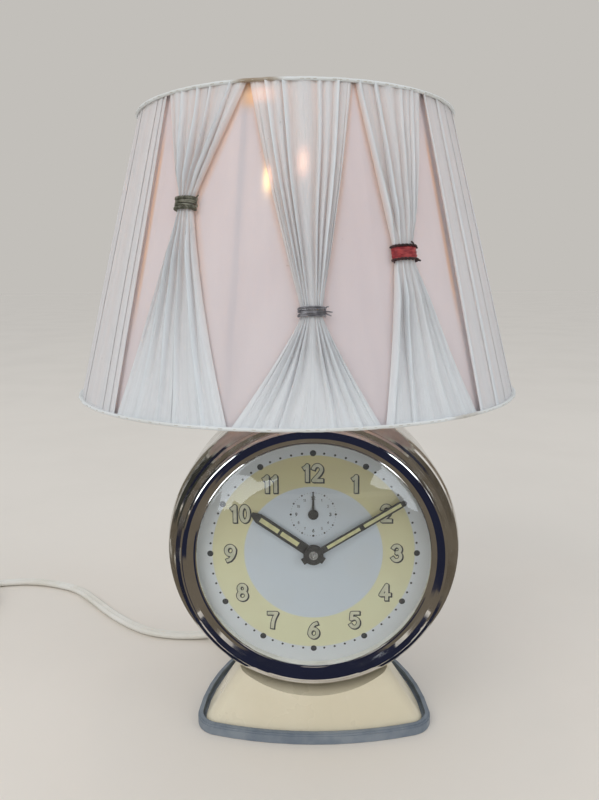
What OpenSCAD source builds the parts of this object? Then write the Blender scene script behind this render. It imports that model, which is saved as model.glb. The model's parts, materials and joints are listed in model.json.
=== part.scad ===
// Bedside lamp built round a wind-up alarm clock.
// Millimetres. +Z is up, the dial faces -Y, and the foot stands on Z = 0.
// The origin is on the table, on the clock's middle plane, below the lamp stem.

/* [Foot] */
// Height of the lowest point of the saddle that carries the clock case
saddle_z = 22.5; // [20:0.5:30]
// Distance of the foot's front edge ahead of the lamp stem
foot_front = 37.8; // [34:0.2:46]
// Radius of the bowed front edge
bow_r = 170; // [140:5:240]
// Half angle of the bowed front edge
bow_a = 16; // [14:0.5:19]
// Radius of the two front corners
corner_r = 12; // [9:0.5:16]
// Radius of the bowed sides
side_r = 100; // [85:5:140]
// Angle through which each side sweeps to the rear
side_a = 25; // [18:1:32]
// Thickness of the rubber tray
rubber_t = 2.4; // [1.6:0.1:3]
// Height of the rubber lip
lip_h = 5; // [4:0.2:8]
// Thickness of the pressed foot shell
foot_wall = 1.2; // [0.8:0.1:2]
// Width of the foot's top as a share of its bottom
foot_taper = 0.64; // [0.58:0.01:0.72]

/* [Clock case] */
// Outside diameter of the bezel
bezel_d = 117; // [98:1:142]
// Width of the bezel ring, from its rim to the glass
bezel_w = 7.2; // [5:0.2:10]
// Amount by which the case band stands out beyond the bezel
case_swell = 7.5; // [6:0.5:12]
// Depth of the case from its front lip to its back rim
case_depth = 50; // [48:1:62]
// Distance of the case's front lip ahead of the lamp stem
case_front = 33.4; // [32:0.2:36]
// Thickness of the case metal
case_wall = 1; // [0.6:0.1:1.4]
// Rise of the domed glass above its rim
glass_rise = 4.6; // [2:0.2:7]
// Thickness of the glass
glass_t = 1.6; // [1:0.1:2.4]

/* [Dial and hands] */
// Depth of the dial behind the case's front lip
dial_depth = 5.4; // [5:0.1:7]
// Thickness of the dial
dial_t = 0.6; // [0.4:0.1:1]
// Height of the alarm arbor above the dial's centre
alarm_y = 18.1; // [17:0.1:20]
// Length of the minute hand
minute_l = 46.8; // [38:0.2:50]
// Length of the hour hand
hour_l = 33; // [27:0.5:39]
// Length of the alarm hand
alarm_l = 9.4; // [7:0.2:11]
// Angle of the minute hand past twelve
minute_a = 58.5; // [0:0.5:360]
// Angle of the hour hand past twelve
hour_a = 304.9; // [0:0.1:360]

/* [Movement] */
// Radius of the two movement plates
plate_r = 40; // [38:0.5:44]
// Thickness of the movement plates
plate_t = 1.4; // [1:0.1:2]
// Gap between the movement plates
plate_gap = 18.4; // [18:0.1:22]
// Length of the wings of a winding key
key_w = 22; // [16:0.5:25]
// Travel of the alarm stop button
stop_travel = 2.5; // [1.5:0.1:3]

/* [Lamp] */
// Sideways place of the lamp stem
stem_x = -7; // [-10:0.5:0]
// Radius of the stem tube
stem_r = 5; // [4:0.5:6]
// Height of the shade's fitting ring above the shade's bottom rim
fitter_rise = 35; // [30:1:45]
// Radius of the lampholder shell
holder_r = 14.5; // [14:0.1:17]
// Diameter of the bulb
bulb_d = 50; // [40:1:60]

/* [Shade] */
// Gap between the top of the case and the shade
shade_gap = 5; // [3:0.5:12]
// Height of the shade
shade_h = 117.5; // [98:0.5:142]
// Bottom diameter of the shade
shade_bottom_d = 196.2; // [164:1:236]
// Top diameter of the shade
shade_top_d = 137.2; // [115:1:165]
// Diameter of the frame's ring wire
ring_wire_d = 2.8; // [2:0.2:4]
// Number of upright ribs in the frame
rib_count = 6; // [4:1:8]
// Number of pleats in the plain part of the cover
pleat_count = 24; // [18:1:28]

/* [Mains lead] */
// Width of the flat twin lead
cord_w = 6; // [5:0.1:6.2]
// Thickness of the flat twin lead
cord_t = 3.2; // [2.6:0.1:3.4]
// Length of the tapered strain relief
relief_l = 22; // [20:1:30]

/* [Hidden] */

// Facets of turned parts
$fn = 96;
// Smallest gap between parts that move past each other
gap = 0.3;
// Radial clearance of a running shaft
run = 0.05;

// Foot, seen from above
bow_c = [0, bow_r - foot_front];
corner_c = bow_c + (bow_r - corner_r) * [sin(bow_a), -cos(bow_a)];
side_c = corner_c - [side_r - corner_r, 0];
rear_shift = -side_c.x / cos(side_a);
rear_r = side_r - rear_shift;
rear_c = [0, side_c.y + rear_shift * sin(side_a)];
shell_inset = 4.2;
shell_shift = 1.6;
foot_top_len = 0.72;
foot_top_lean = 0.5;
foot_top_rise = 10.5;
bolt_r = 2;
bolt_ys = [-12, 6];
bolt_head_r = 3.6;
bolt_head_h = 2.4;
lead_hole_p = [-16, -1];
lead_hole_r = 3.4;

// Case, in turned profiles of radius and distance forward of the stem
bezel_r = bezel_d / 2;
case_r = bezel_r + case_swell;
opening_r = bezel_r - bezel_w;
dial_z = saddle_z + case_r;
case_back = case_front - case_depth;
lip_in_r = bezel_r - 0.9;
hem = 2;
shoulder_w = case_swell - 1.9;
shoulder_r = case_r - shoulder_w;
front_shoulder_f = case_front - 13.4;
front_shoulder_d = 9.2;
rear_shoulder_d = 7;
rear_shoulder_f = case_back + rear_shoulder_d + 0.6;
rear_in_r = case_r - 7.1;
glass_seat_f = case_front - 0.2;
glass_r = lip_in_r - 1.4;
glass_rim_t = 1.6;
glass_sphere_r = (opening_r * opening_r + glass_rise * glass_rise) / 2 / glass_rise;
seat_r = glass_r + 0.2;
bezel_out_r = lip_in_r - 0.1;
bezel_in_r = lip_in_r - 1.2;
dial_f = case_front - dial_depth;
cup_floor_f = dial_f - dial_t;
cup_t = 0.8;
cup_r = glass_r + 0.4;
cup_hem_f = case_front - hem;
cup_foot_r = 1.6;

// Movement stations, measured forward
plate_front_f = cup_floor_f - 4.6;
back_front_f = plate_front_f - plate_t - plate_gap;
back_rear_f = back_front_f - plate_t;
cover_f = case_back;
cover_step = 2.4;
knob_f = case_back - cover_step - 2.8;
pillar_ring = 36;
pillar_r = 2.2;
arbor_r = 1.5;
alarm_arbor_r = 1.2;
pivot_r = 0.8;
cannon_r = 2;
hour_pipe_r = cannon_r + 0.7;
centre_wheel_f = back_front_f + 1.2;
great_wheel_f = back_front_f + 3.8;
great_wheel_t = 1.2;
cannon_f = plate_front_f + 0.4;
cannon_t = 1.4;
hour_wheel_f = cannon_f + 2.6;
third_wheel_f = plate_front_f - plate_t - 2.2;
escape_f = back_front_f + 8;
index_f = back_rear_f - 1.4;
hammer_f = back_rear_f - 6;
stop_head_f = cover_f - cover_step - 1 - gap - stop_travel;
cover_bolt_a = [90, 210, 330];
cover_bolt_r = 1.2;
knob_l = 5.6;
knob_seat = 0.6;

// Hands
hand_t = 0.5;
hand_hub_r = 4.4;
hand_tail_l = 5.6;
hand_tail_w = 3;
minute_hand_f = dial_f + 2.4;
minute_slot_w = 1.5;
minute_slots = [[7.2, minute_l / 2 + 0.5], [minute_l / 2 + 2.6, minute_l - 2]];
hour_hand_f = dial_f + 1;
hour_slot_w = 2.1;
hour_slots = [[8.1, hour_l / 2 + 0.8], [hour_l / 2 + 2.1, hour_l - 4.6]];
alarm_hand_f = dial_f + 0.25;
alarm_hand_t = 0.35;

// Gears: modules and tooth counts
motion_m = 0.5;
cannon_n = 10;
minute_n = 30;
minute_pinion_n = 8;
hour_n = 32;
barrel_m = 0.5;
barrel_n = 64;
centre_pinion_n = 12;
centre_m = 0.45;
centre_n = 60;
third_pinion_n = 8;
third_m = 0.4;
third_n = 56;
escape_pinion_n = 7;
backlash = 0.3;
pressure_a = 20;
wheel_add = 0.5;
wheel_ded = 1.1;
pinion_add = 0.8;
pinion_ded = 1;
rim_w = 1.4;
spoke_w = 1.6;
mesh_motion = motion_m * (cannon_n + minute_n) / 2;
mesh_barrel = barrel_m * (barrel_n + centre_pinion_n) / 2;
mesh_third = centre_m * (centre_n + third_pinion_n) / 2;
mesh_escape = third_m * (third_n + escape_pinion_n) / 2;

// Places of the arbors, seen from the front, from the dial's centre
minute_dir = 200;
barrel_dir = 213;
third_dir = 20;
escape_dir = 88;
minute_p = mesh_motion * [cos(minute_dir), sin(minute_dir)];
barrel_p = mesh_barrel * [cos(barrel_dir), sin(barrel_dir)];
third_p = mesh_third * [cos(third_dir), sin(third_dir)];
escape_p = third_p + mesh_escape * [cos(escape_dir), sin(escape_dir)];
alarm_barrel_p = [17.5, barrel_p.y];
alarm_p = [0, alarm_y];
pallet_p = [6.7, 22.5];
balance_p = [-14, 20];
hammer_p = [29, 5];
stop_p = [10, 31];
stop_r = 1.3;
index_r = 1.7;
key_arbor_r = 2.2;
key_t = 2.4;
key_wing_r = 5;
regulator_l = 12;
regulator_a = 130;
regulator_swing = 20;
hammer_head = [4, 25];
hammer_head_r = 4;
post_r = 2;
strike_gap = 1.9;
post_p = hammer_p + hammer_head - [hammer_head_r + post_r + strike_gap, 0];
regulator_tip = balance_p + regulator_l * [cos(regulator_a), sin(regulator_a)];
pallet_pin = 2.1;
pallet_a = atan2(escape_p.y - pallet_p.y, escape_p.x - pallet_p.x);
lever_a = atan2(balance_p.y - pallet_p.y, balance_p.x - pallet_p.x);
balance_rim_r = 9.4;
spiral_turns = 4;
spiral_steps = 20;
spiral_w = 0.24;

// Lamp stations
case_top_z = dial_z + sqrt(case_r * case_r - stem_x * stem_x);
stem_bottom_z = case_top_z - 12;
stem_bore_r = stem_r - 1.2;
collar_r = 9;
switch_r = 1.5;
switch_a = 20;
flange_w = 3.5;
nut_w = 5;
ring_t = 1.2;
shade_z = dial_z + case_r + shade_gap;
fitter_z = shade_z + fitter_rise;
holder_z = fitter_z - 21;
holder_top_z = fitter_z + 8.5;
socket_r = 11.3;
bulb_cap_r = 11;
cap_bottom_z = fitter_z - 8;
glass_z = holder_top_z + 1.5;
bulb_r = bulb_d / 2;
bulb_c_z = glass_z + 13 + bulb_r;
bulb_wall = 0.8;
bulb_neck_r = bulb_cap_r - 0.3;
filament_z = bulb_c_z + 6;
filament_r = 9;
mount_h = 16;
mount_top_r = 2.4;
wire_run = [filament_r - 1.6, filament_z - glass_z - mount_h];

// Shade: nominal cone and the layers on it
trim_out = 1.5;
shade_r0 = shade_bottom_d / 2 - trim_out;
shade_r1 = shade_top_d / 2 - trim_out;
lining_in = 2.1;
frame_gap = 0.2;
lining_out = 1.6;
cover_in = 1.25;
ring_w_r = ring_wire_d / 2;
rib_r = 1.2;
rib_start_a = -14;
arm_r = 1.2;
arm_count = 3;
arm_start_a = 30;
trim_t = 0.5;
trim_lip = 1.8;
trim_h = 3.6;
trim_gap = 0.13;
cloth_z = shade_z + trim_t;
cloth_h = shade_h - 2 * trim_t;
shade_slope = atan((shade_r0 - shade_r1) / cloth_h);
ring_in = lining_in + (ring_w_r + frame_gap) / cos(shade_slope);
ring_r0 = shade_r(ring_w_r / cloth_h) - ring_in;
ring_r1 = shade_r(1 - ring_w_r / cloth_h) - ring_in;
ring_z0 = cloth_z + ring_w_r;
ring_z1 = cloth_z + cloth_h - ring_w_r;
arm_in = holder_r + nut_w - 0.4;
arm_drop = fitter_z + 0.4 - ring_z0;
arm_reach = ring_r0 - arm_in - 0.9;
// The trim's inner leg stands inside the ribs, which lean in as they rise
trim_in = ring_in + rib_r / cos(shade_slope) + (trim_h - trim_t) * tan(shade_slope) + trim_gap;

// Gathers: azimuth of the middle at the rims, half angle at the rims, then the tie's azimuth,
// its share of the height, its width and its own height
gathers = [
  [-28.2, 14.6, -29, 0.644, 7.8, 4.8], [3.4, 14.4, 4.2, 0.327, 9, 4.1], [31.8, 12.6, 28.1, 0.493, 9.5, 6]
];
gather_cols = 8;
gap_cols = 4;
tie_t = 0.5;
crest = 2;
tie_base = 0.45;
row_order = [1, 2, 0];
plain_gap_a = 0.8;
first_a = gathers[0][0] - gathers[0][1] - plain_gap_a;
last_a = gathers[2][0] + gathers[2][1] + plain_gap_a;
fold_rows = concat(
  [0, 0.16], [for (i = row_order, s = [-1, 1]) gathers[i][3] + s * held(gathers[i])], [0.82, 1]
);
cover_n = len(columns(0));
cover_rows = len(fold_rows);

// Mains lead. The free route starts at the tip of the strain relief.
cord_points = [
  [-50, 47, 6.5], [-54.9, 51.7, 4.7], [-61, 54, 3], [-68, 54.7, 2], [-77, 55, 1.7], [-86, 56, 1.7],
  [-95, 58.5, 1.7], [-104, 63, 1.7], [-115.5, 71.5, 1.7], [-128, 83, 1.7], [-142, 98, 1.7],
  [-158, 113.5, 1.7], [-178, 123, 1.7], [-198, 126.5, 1.7], [-216, 124.2, 1.7], [-231, 122, 1.7],
  [-247, 119.7, 1.7]
];
relief_az = 136;
relief_tilt = -15;
relief_core_r = 4.2;
relief_back = 7;
relief_dir = [cos(relief_tilt) * cos(relief_az), cos(relief_tilt) * sin(relief_az), sin(relief_tilt)];
relief_p = cord_points[0] - relief_l * relief_dir;
coil_c = [-248, 81];
coil_r_out = 38.2;
coil_start_a = 98;
coil_end_a = 225;
coil_layers = 4;
coil_layer_turns = (7 + (coil_end_a - coil_start_a) / 360) / coil_layers;
coil_climb = 0.5;
coil_pitch = 6.6;
coil_rise = 3.8;
coil_z = 1.7;
coil_steps = 24;
coil_rings = round(coil_layers * coil_layer_turns * coil_steps);
coil_end = coil_point(coil_layers * coil_layer_turns);
// Straight lead from the coil's last turn down to the plug
tail_l = 24;
tail_steps = 5;
tail_dir = [-sin(coil_end_a), cos(coil_end_a), 0];
plug_l = 36;
plug_t = 13.4;
plug_z = plug_t / 2 + 0.1;
pin_r = 2;
pin_l = 19;
pin_gap = 19;
plug_p = tail_point(1) + cord_w * tail_dir;
coil_path = concat(
  [cord_points[len(cord_points) - 1]],
  [for (i = [0 : coil_rings]) coil_point(coil_layers * coil_layer_turns * i / coil_rings)],
  [for (i = [1 : tail_steps]) tail_point(i / tail_steps)],
  [plug_p]
);
coil_gap = min([for (i = [0 : len(coil_path) - 1], j = [i + coil_steps / 2 : len(coil_path) - 1])
  if (norm(coil_path[i] - coil_path[j]) < 2 * cord_w) pair_gap(coil_path[i], coil_path[j])]);
coil_tie_a = 200;
coil_tie_w = 6;
coil_tie_t = 0.8;

// Lead inside the foot and the case, up to the lampholder
lead_w = 4.6;
lead_in = relief_p - relief_back * relief_dir;
lead_ring_r = case_r - 9;
lead_path = concat(
  [lead_in, lead_in - 5 * relief_dir, [-20, 12, 14], [lead_hole_p.x, 1, 15]],
  [[lead_hole_p.x, lead_hole_p.y, saddle_z - 2], [lead_hole_p.x, lead_hole_p.y, saddle_z + 6]],
  [for (a = [240 : -15 : 120]) [lead_ring_r * cos(a), 6, dial_z + lead_ring_r * sin(a)]],
  [[stem_x - 14, 5, stem_bottom_z - 5], [stem_x - 6, 2, stem_bottom_z - 7]],
  [[stem_x - 1, 0, stem_bottom_z - 4], [stem_x, 0, stem_bottom_z + 3], [stem_x, 0, holder_z + 3]]
);

// Points along an arc, without its last point
function arc(c, rx, ry, a0, a1, n) =
  [for (i = [0 : n - 1]) let (a = a0 + (a1 - a0) * i / n) c + [rx * cos(a), ry * sin(a)]];
// The same points reversed in order
function reversed(list) = [for (i = [len(list) - 1 : -1 : 0]) list[i]];

// Outline of the foot, drawn in by inset
function foot_outline(inset) = concat(
  arc(bow_c, bow_r - inset, bow_r - inset, -90 - bow_a, -90 + bow_a, 10),
  arc(corner_c, corner_r - inset, corner_r - inset, -90 + bow_a, 0, 6),
  arc(side_c, side_r - inset, side_r - inset, 0, side_a, 4),
  arc(rear_c, rear_r - inset, rear_r - inset, side_a, 180 - side_a, 16),
  arc([-side_c.x, side_c.y], side_r - inset, side_r - inset, 180 - side_a, 180, 4),
  arc([-corner_c.x, corner_c.y], corner_r - inset, corner_r - inset, 180, 270 - bow_a, 6)
);
// Outline of the foot's top, before the saddle is cut
function foot_top(inset) = let (front = shell_inset - shell_shift - foot_front)
  [for (p = foot_outline(shell_inset + inset / foot_taper))
    [p.x * foot_taper, (p.y - shell_shift - front) * foot_top_len + front + foot_top_lean]];

// Gear outline with involute flanks
function involute(base_r, r) = let (a = acos(min(1, base_r / r))) tan(a) * 180 / PI - a;
function tooth_half(n, m, r) =
  let (pitch_r = n * m / 2, base_r = pitch_r * cos(pressure_a))
  90 / n - backlash / 4 / pitch_r * 180 / PI
    + involute(base_r, pitch_r) - involute(base_r, max(r, base_r));
function gear_points(n, m, add, ded, phase) =
  let (pitch_r = n * m / 2, radii = [pitch_r - ded, pitch_r, pitch_r + add])
  [for (k = [0 : n - 1], s = [-1, 1], i = [0 : 2])
    let (r = radii[s < 0 ? i : 2 - i], a = phase + 360 * k / n + s * tooth_half(n, m, r))
    r * [cos(a), sin(a)]];

// Turned profile of the case band from the front lip to the back rim, and back inside
function case_outer() = concat(
  [[lip_in_r, case_front], [bezel_r + 2.1, case_front], [bezel_r + 2.9, case_front - 0.8]],
  [[bezel_r + 2.9, case_front - 3], [bezel_r + 2.4, case_front - 3.5], [bezel_r + 2.4, case_front - 4.1]],
  arc([shoulder_r, front_shoulder_f], shoulder_w, front_shoulder_d, 70, 0, 7),
  [[case_r, front_shoulder_f]],
  arc([shoulder_r, rear_shoulder_f], shoulder_w, rear_shoulder_d, 0, -80, 7),
  [[rear_in_r + 2.4, case_back + 0.7], [rear_in_r + 1.8, case_back], [rear_in_r, case_back]]
);
function case_inner() = concat(
  [[rear_in_r, case_back + 1.4], [rear_in_r + 2, case_back + 2]],
  arc([shoulder_r, rear_shoulder_f], shoulder_w - case_wall, rear_shoulder_d - case_wall, -60, 0, 5),
  [[case_r - case_wall, rear_shoulder_f]],
  arc([shoulder_r, front_shoulder_f], shoulder_w - case_wall, front_shoulder_d - case_wall, 0, 60, 5),
  [[bezel_r + 1.1, case_front - 5], [bezel_r + 1.1, case_front - hem], [lip_in_r, case_front - hem]]
);

// Radius of the shade's nominal cone at share h of its height
function shade_r(h) = shade_r0 + (shade_r1 - shade_r0) * h;

// Places children on the dial's axis, with their Z pointing out of the dial
module face() translate([0, 0, dial_z]) rotate([90, 0, 0]) children();
// Places children at one arbor, with their foot at forward station f
module arbor_at(p, f) face() translate([p.x, p.y, f]) children();
// Places children on the lamp's axis
module lamp(z) translate([stem_x, 0, z]) children();
// Round bar from one station to another on an arbor
module bar(p, f0, f1, r) arbor_at(p, f0) cylinder(h = f1 - f0, r = r, $fn = 32);
module wheel(n, m, t, phase)
  linear_extrude(t) polygon(gear_points(n, m, wheel_add * m, wheel_ded * m, phase));
module pinion(n, m, t, phase)
  linear_extrude(t) polygon(gear_points(n, m, pinion_add * m, pinion_ded * m, phase));

// Foot
module rubber_tray() color("slategray") {
  linear_extrude(rubber_t) polygon(foot_outline(0));
  difference() {
    union() {
      linear_extrude(lip_h - 1.2) polygon(foot_outline(0));
      linear_extrude(lip_h - 0.4) polygon(foot_outline(0.3));
      linear_extrude(lip_h) polygon(foot_outline(0.8));
    }
    translate([0, 0, rubber_t - 1]) linear_extrude(lip_h) polygon(foot_outline(rubber_t));
  }
}
module foot_loft(inset, drop) hull() {
  translate([0, -shell_shift, rubber_t - drop])
    linear_extrude(1.2 + drop) polygon(foot_outline(shell_inset + inset));
  translate([0, 0, saddle_z + foot_top_rise]) linear_extrude(1) polygon(foot_top(inset));
}
module saddle_drum(r) translate([0, 90, dial_z]) rotate([90, 0, 0]) cylinder(h = 180, r = r, $fn = 128);
module foot_shell() color("wheat") difference() {
  foot_loft(0, 0);
  saddle_drum(case_r);
  difference() {
    foot_loft(foot_wall, 2);
    saddle_drum(case_r + foot_wall);
  }
  relief_axis() cylinder(h = 30, r = relief_core_r, center = true, $fn = 48);
  foot_bolts() cylinder(h = 12, r = bolt_r, center = true, $fn = 32);
  lead_hole();
}
module foot_bolts() for (y = bolt_ys) translate([0, y, saddle_z]) children();
module lead_hole() translate([lead_hole_p.x, lead_hole_p.y, saddle_z - 8])
  cylinder(h = 24, r = lead_hole_r, $fn = 32);
module foot_screws() color("dimgray") foot_bolts() {
  difference() {
    translate([0, 0, -foot_wall - bolt_head_h]) cylinder(h = bolt_head_h, r = bolt_head_r, $fn = 32);
    translate([-4, -0.5, -foot_wall - bolt_head_h - 0.1]) cube([8, 1, 0.9]);
  }
  translate([0, 0, -foot_wall - 1]) cylinder(h = foot_wall + case_wall + 4, r = bolt_r, $fn = 32);
  translate([0, 0, case_wall + 0.2]) cylinder(h = bolt_head_h, r = bolt_head_r, $fn = 6);
}

// Clock case
module case_shell() color("silver") difference() {
  union() {
    face() rotate_extrude($fn = 128) polygon(concat(case_outer(), case_inner()));
    for (a = cover_bolt_a) arbor_at([0, 0], cover_f + 3 + gap) rotate([0, 0, a])
      translate([rear_in_r - 6, -3, 0]) cube([11, 6, 2.4]);
  }
  cover_bolts() cylinder(h = 20, r = cover_bolt_r, center = true, $fn = 24);
  lamp(stem_bottom_z) cylinder(h = 30, r = stem_r + run, $fn = 48);
  foot_bolts() cylinder(h = 12, r = bolt_r, center = true, $fn = 32);
  lead_hole();
}
module bezel() color("gainsboro") face() rotate_extrude($fn = 128) polygon(concat(
  [[bezel_out_r, case_front - hem + 0.2], [bezel_out_r, case_front]],
  arc([bezel_r - 1.4, case_front + 1.4], 1.4, 1.4, -60, 90, 10),
  [[bezel_r - 1.4, case_front + 2.8], [bezel_r - 3, case_front + 1.85]],
  [[bezel_r - 4.6, case_front + 1.25], [bezel_r - 5.9, case_front + 0.95]],
  arc([opening_r + 0.6, glass_seat_f + 0.6], 0.6, 0.6, 70, 270, 8),
  [[opening_r + 0.6, glass_seat_f], [bezel_in_r, glass_seat_f]],
  [[bezel_in_r, case_front - hem + 0.2]]
));
function dome(r) = sqrt(glass_sphere_r * glass_sphere_r - r * r) - glass_sphere_r + glass_rise;
module crystal() color("lightcyan", 0.4) face() rotate_extrude($fn = 128) polygon(concat(
  [for (i = [0 : 12]) let (r = opening_r * i / 12) [r, glass_seat_f + dome(r)]],
  [[glass_r, glass_seat_f], [glass_r, glass_seat_f - glass_rim_t]],
  [for (i = [12 : -1 : 0]) let (r = opening_r * i / 12) [r, glass_seat_f - glass_t + dome(r)]]
));
module dial_ring() color("ivory") arbor_at([0, 0], dial_f) difference() {
  cylinder(h = glass_seat_f - glass_rim_t - dial_f, r = seat_r, $fn = 128);
  translate([0, 0, -1]) cylinder(h = 9, r = opening_r + 1, $fn = 128);
}
module dial() color("ivory") arbor_at([0, 0], cup_floor_f) difference() {
  cylinder(h = dial_t, r = seat_r, $fn = 128);
  translate([0, 0, -1]) cylinder(h = 3, r = 3.2, $fn = 48);
  translate([alarm_p.x, alarm_p.y, -1]) cylinder(h = 3, r = 1.7, $fn = 32);
}
module dial_cup() color("darkgray") {
  face() rotate_extrude($fn = 128) polygon([
    [plate_r - 3, cup_floor_f - cup_t], [plate_r - 3, cup_floor_f], [cup_r, cup_floor_f],
    [cup_r, cup_hem_f], [bezel_r + 0.8, cup_hem_f], [bezel_r + 0.8, cup_hem_f - cup_t],
    [cup_r + cup_t, cup_hem_f - cup_t], [cup_r + cup_t, cup_floor_f - cup_t]
  ]);
  for (a = [30 : 120 : 270])
    bar((plate_r - cup_foot_r) * [cos(a), sin(a)], plate_front_f, cup_floor_f - cup_t, cup_foot_r);
}
module plate_holes(f) {
  for (p = [barrel_p, alarm_barrel_p]) bar(p, f - 1, f + plate_t + 1, key_arbor_r + run);
  for (p = [third_p, escape_p, pallet_p, balance_p, hammer_p])
    bar(p, f - 1, f + plate_t + 1, pivot_r + run);
  bar([0, 0], f - 1, f + plate_t + 1, arbor_r + run);
  bar(alarm_p, f - 1, f + plate_t + 1, alarm_arbor_r + run);
}
module front_plate() color("goldenrod") {
  difference() {
    bar([0, 0], plate_front_f - plate_t, plate_front_f, plate_r);
    plate_holes(plate_front_f - plate_t);
  }
  bar(minute_p, plate_front_f, plate_front_f + 4.2, pivot_r);
}
module back_plate() color("goldenrod") {
  difference() {
    union() {
      bar([0, 0], back_rear_f, back_front_f, plate_r);
      bar(balance_p, back_rear_f - 2, back_rear_f, index_r);
    }
    plate_holes(back_rear_f);
    bar(balance_p, back_rear_f - 3, back_front_f, pivot_r + run);
    bar(stop_p, back_rear_f - 1, back_front_f + 1, stop_r + run);
  }
  for (a = [0 : 90 : 270])
    bar(pillar_ring * [cos(a), sin(a)], back_front_f - 0.1, plate_front_f - plate_t, pillar_r);
}

// Rear cover and what it carries
module slot_cut() for (s = [-1 : 0.25 : 1]) let (a = regulator_a + s * regulator_swing)
  bar(balance_p + regulator_l * [cos(a), sin(a)], knob_f, knob_f + 9, 1.7);
module rear_cover() color("silver") {
  rear_pan();
  bar(post_p, cover_f - cover_step - 0.1, back_rear_f - 4, post_r);
}
module rear_pan() difference() {
  face() rotate_extrude($fn = 128) polygon([
    [0, cover_f - cover_step - 1], [rear_in_r - 9, cover_f - cover_step - 1], [rear_in_r - 5, cover_f - 1],
    [rear_in_r + 1.6, cover_f - 1], [rear_in_r + 1.6, cover_f], [rear_in_r - 0.1, cover_f],
    [rear_in_r - 0.1, cover_f + 3], [rear_in_r - 1.1, cover_f + 3], [rear_in_r - 1.1, cover_f],
    [rear_in_r - 5.4, cover_f], [rear_in_r - 9.4, cover_f - cover_step], [0, cover_f - cover_step]
  ]);
  for (p = [barrel_p, alarm_barrel_p]) bar(p, knob_f, 0, 4);
  bar([0, 0], knob_f, 0, 3);
  bar(alarm_p, knob_f, 0, 2.6);
  bar(stop_p, knob_f, 0, stop_r + 0.8);
  slot_cut();
  for (a = [230 : 20 : 310]) hull() for (r = [30, 36])
    bar(r * [cos(a), sin(a)], knob_f, 0, 1.2);
  cover_bolts() cylinder(h = 20, r = cover_bolt_r, center = true, $fn = 24);
}
module cover_bolts() for (a = cover_bolt_a)
  arbor_at((rear_in_r - 3) * [cos(a), sin(a)], cover_f - 1) children();
module cover_screws() color("dimgray") cover_bolts() {
  difference() {
    translate([0, 0, -1.4]) cylinder(h = 1.4, r = 2.2, $fn = 32);
    translate([-3, -0.3, -1.5]) cube([6, 0.6, 0.7]);
  }
  cylinder(h = 6, r = cover_bolt_r, $fn = 24);
}

// Time side of the movement
module centre_arbor() color("gold") {
  bar([0, 0], knob_f, dial_f + 3.5, arbor_r);
  difference() {
    union() {
      arbor_at([0, 0], cannon_f) pinion(cannon_n, motion_m, cannon_t, minute_dir);
      bar([0, 0], cannon_f + cannon_t, minute_hand_f + hand_t, cannon_r);
    }
    bar([0, 0], knob_f, dial_f + 4, arbor_r - 0.5);
  }
}
module spoked_wheel(n, m, t, phase, hub_r) difference() {
  wheel(n, m, t, phase);
  difference() {
    translate([0, 0, -1]) cylinder(h = t + 2, r = (n / 2 - wheel_ded) * m - rim_w, $fn = 64);
    translate([0, 0, -2]) cylinder(h = t + 4, r = hub_r + rim_w, $fn = 32);
    for (a = [0, 90]) rotate([0, 0, a]) translate([-n, -spoke_w / 2, -2]) cube([2 * n, spoke_w, t + 4]);
  }
  translate([0, 0, -1]) cylinder(h = t + 2, r = hub_r, $fn = 32);
}
module centre_wheel() color("gold") {
  arbor_at([0, 0], centre_wheel_f)
    spoked_wheel(centre_n, centre_m, 1, third_dir, arbor_r + run);
  difference() {
    union() {
      arbor_at([0, 0], great_wheel_f - 0.4)
        pinion(centre_pinion_n, barrel_m, 2, barrel_dir);
      bar([0, 0], centre_wheel_f, great_wheel_f, 2.2);
    }
    bar([0, 0], centre_wheel_f - 1, great_wheel_f + 3, arbor_r + run);
  }
}
module minute_wheel() color("gold") arbor_at(minute_p, cannon_f + 0.2) difference() {
  union() {
    wheel(minute_n, motion_m, 1, minute_dir + 180 + 180 / minute_n);
    translate([0, 0, 1]) pinion(minute_pinion_n, motion_m, 2.5, minute_dir);
  }
  translate([0, 0, -1]) cylinder(h = 6, r = pivot_r + run, $fn = 32);
}
module hour_wheel() color("gold") arbor_at([0, 0], hour_wheel_f) difference() {
  union() {
    wheel(hour_n, motion_m, 0.8, minute_dir + 180 / hour_n);
    cylinder(h = hour_hand_f + hand_t - hour_wheel_f, r = hour_pipe_r, $fn = 48);
  }
  translate([0, 0, -1]) cylinder(h = 9, r = cannon_r + run, $fn = 48);
}
module time_set_knob() color("goldenrod") arbor_at([0, 0], knob_f - knob_l + knob_seat) difference() {
  knob(5);
  translate([0, 0, knob_l - knob_seat]) cylinder(h = 3, r = arbor_r, $fn = 32);
}
module knob(r) difference() {
  cylinder(h = knob_l, r = r, $fn = 48);
  for (a = [0 : 30 : 330]) rotate([0, 0, a])
    translate([r + 0.5, 0, -1]) cylinder(h = knob_l - knob_seat, r = 0.9, $fn = 16);
}
module hand_blade(l, w, tip) linear_extrude(hand_t) polygon([
  [-w / 2, 2], [w / 2, 2], [w / 2, l - tip], [w * 0.18, l], [-w * 0.18, l], [-w / 2, l - tip]
]);
module hand_hub() {
  cylinder(h = hand_t, r = hand_hub_r, $fn = 48);
  translate([-hand_tail_w / 2, -hand_tail_l, 0]) cube([hand_tail_w, hand_tail_l, hand_t]);
}
module slots(list, w, t, z) for (s = list) translate([-w / 2, s[0], z]) cube([w, s[1] - s[0], t]);
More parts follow.
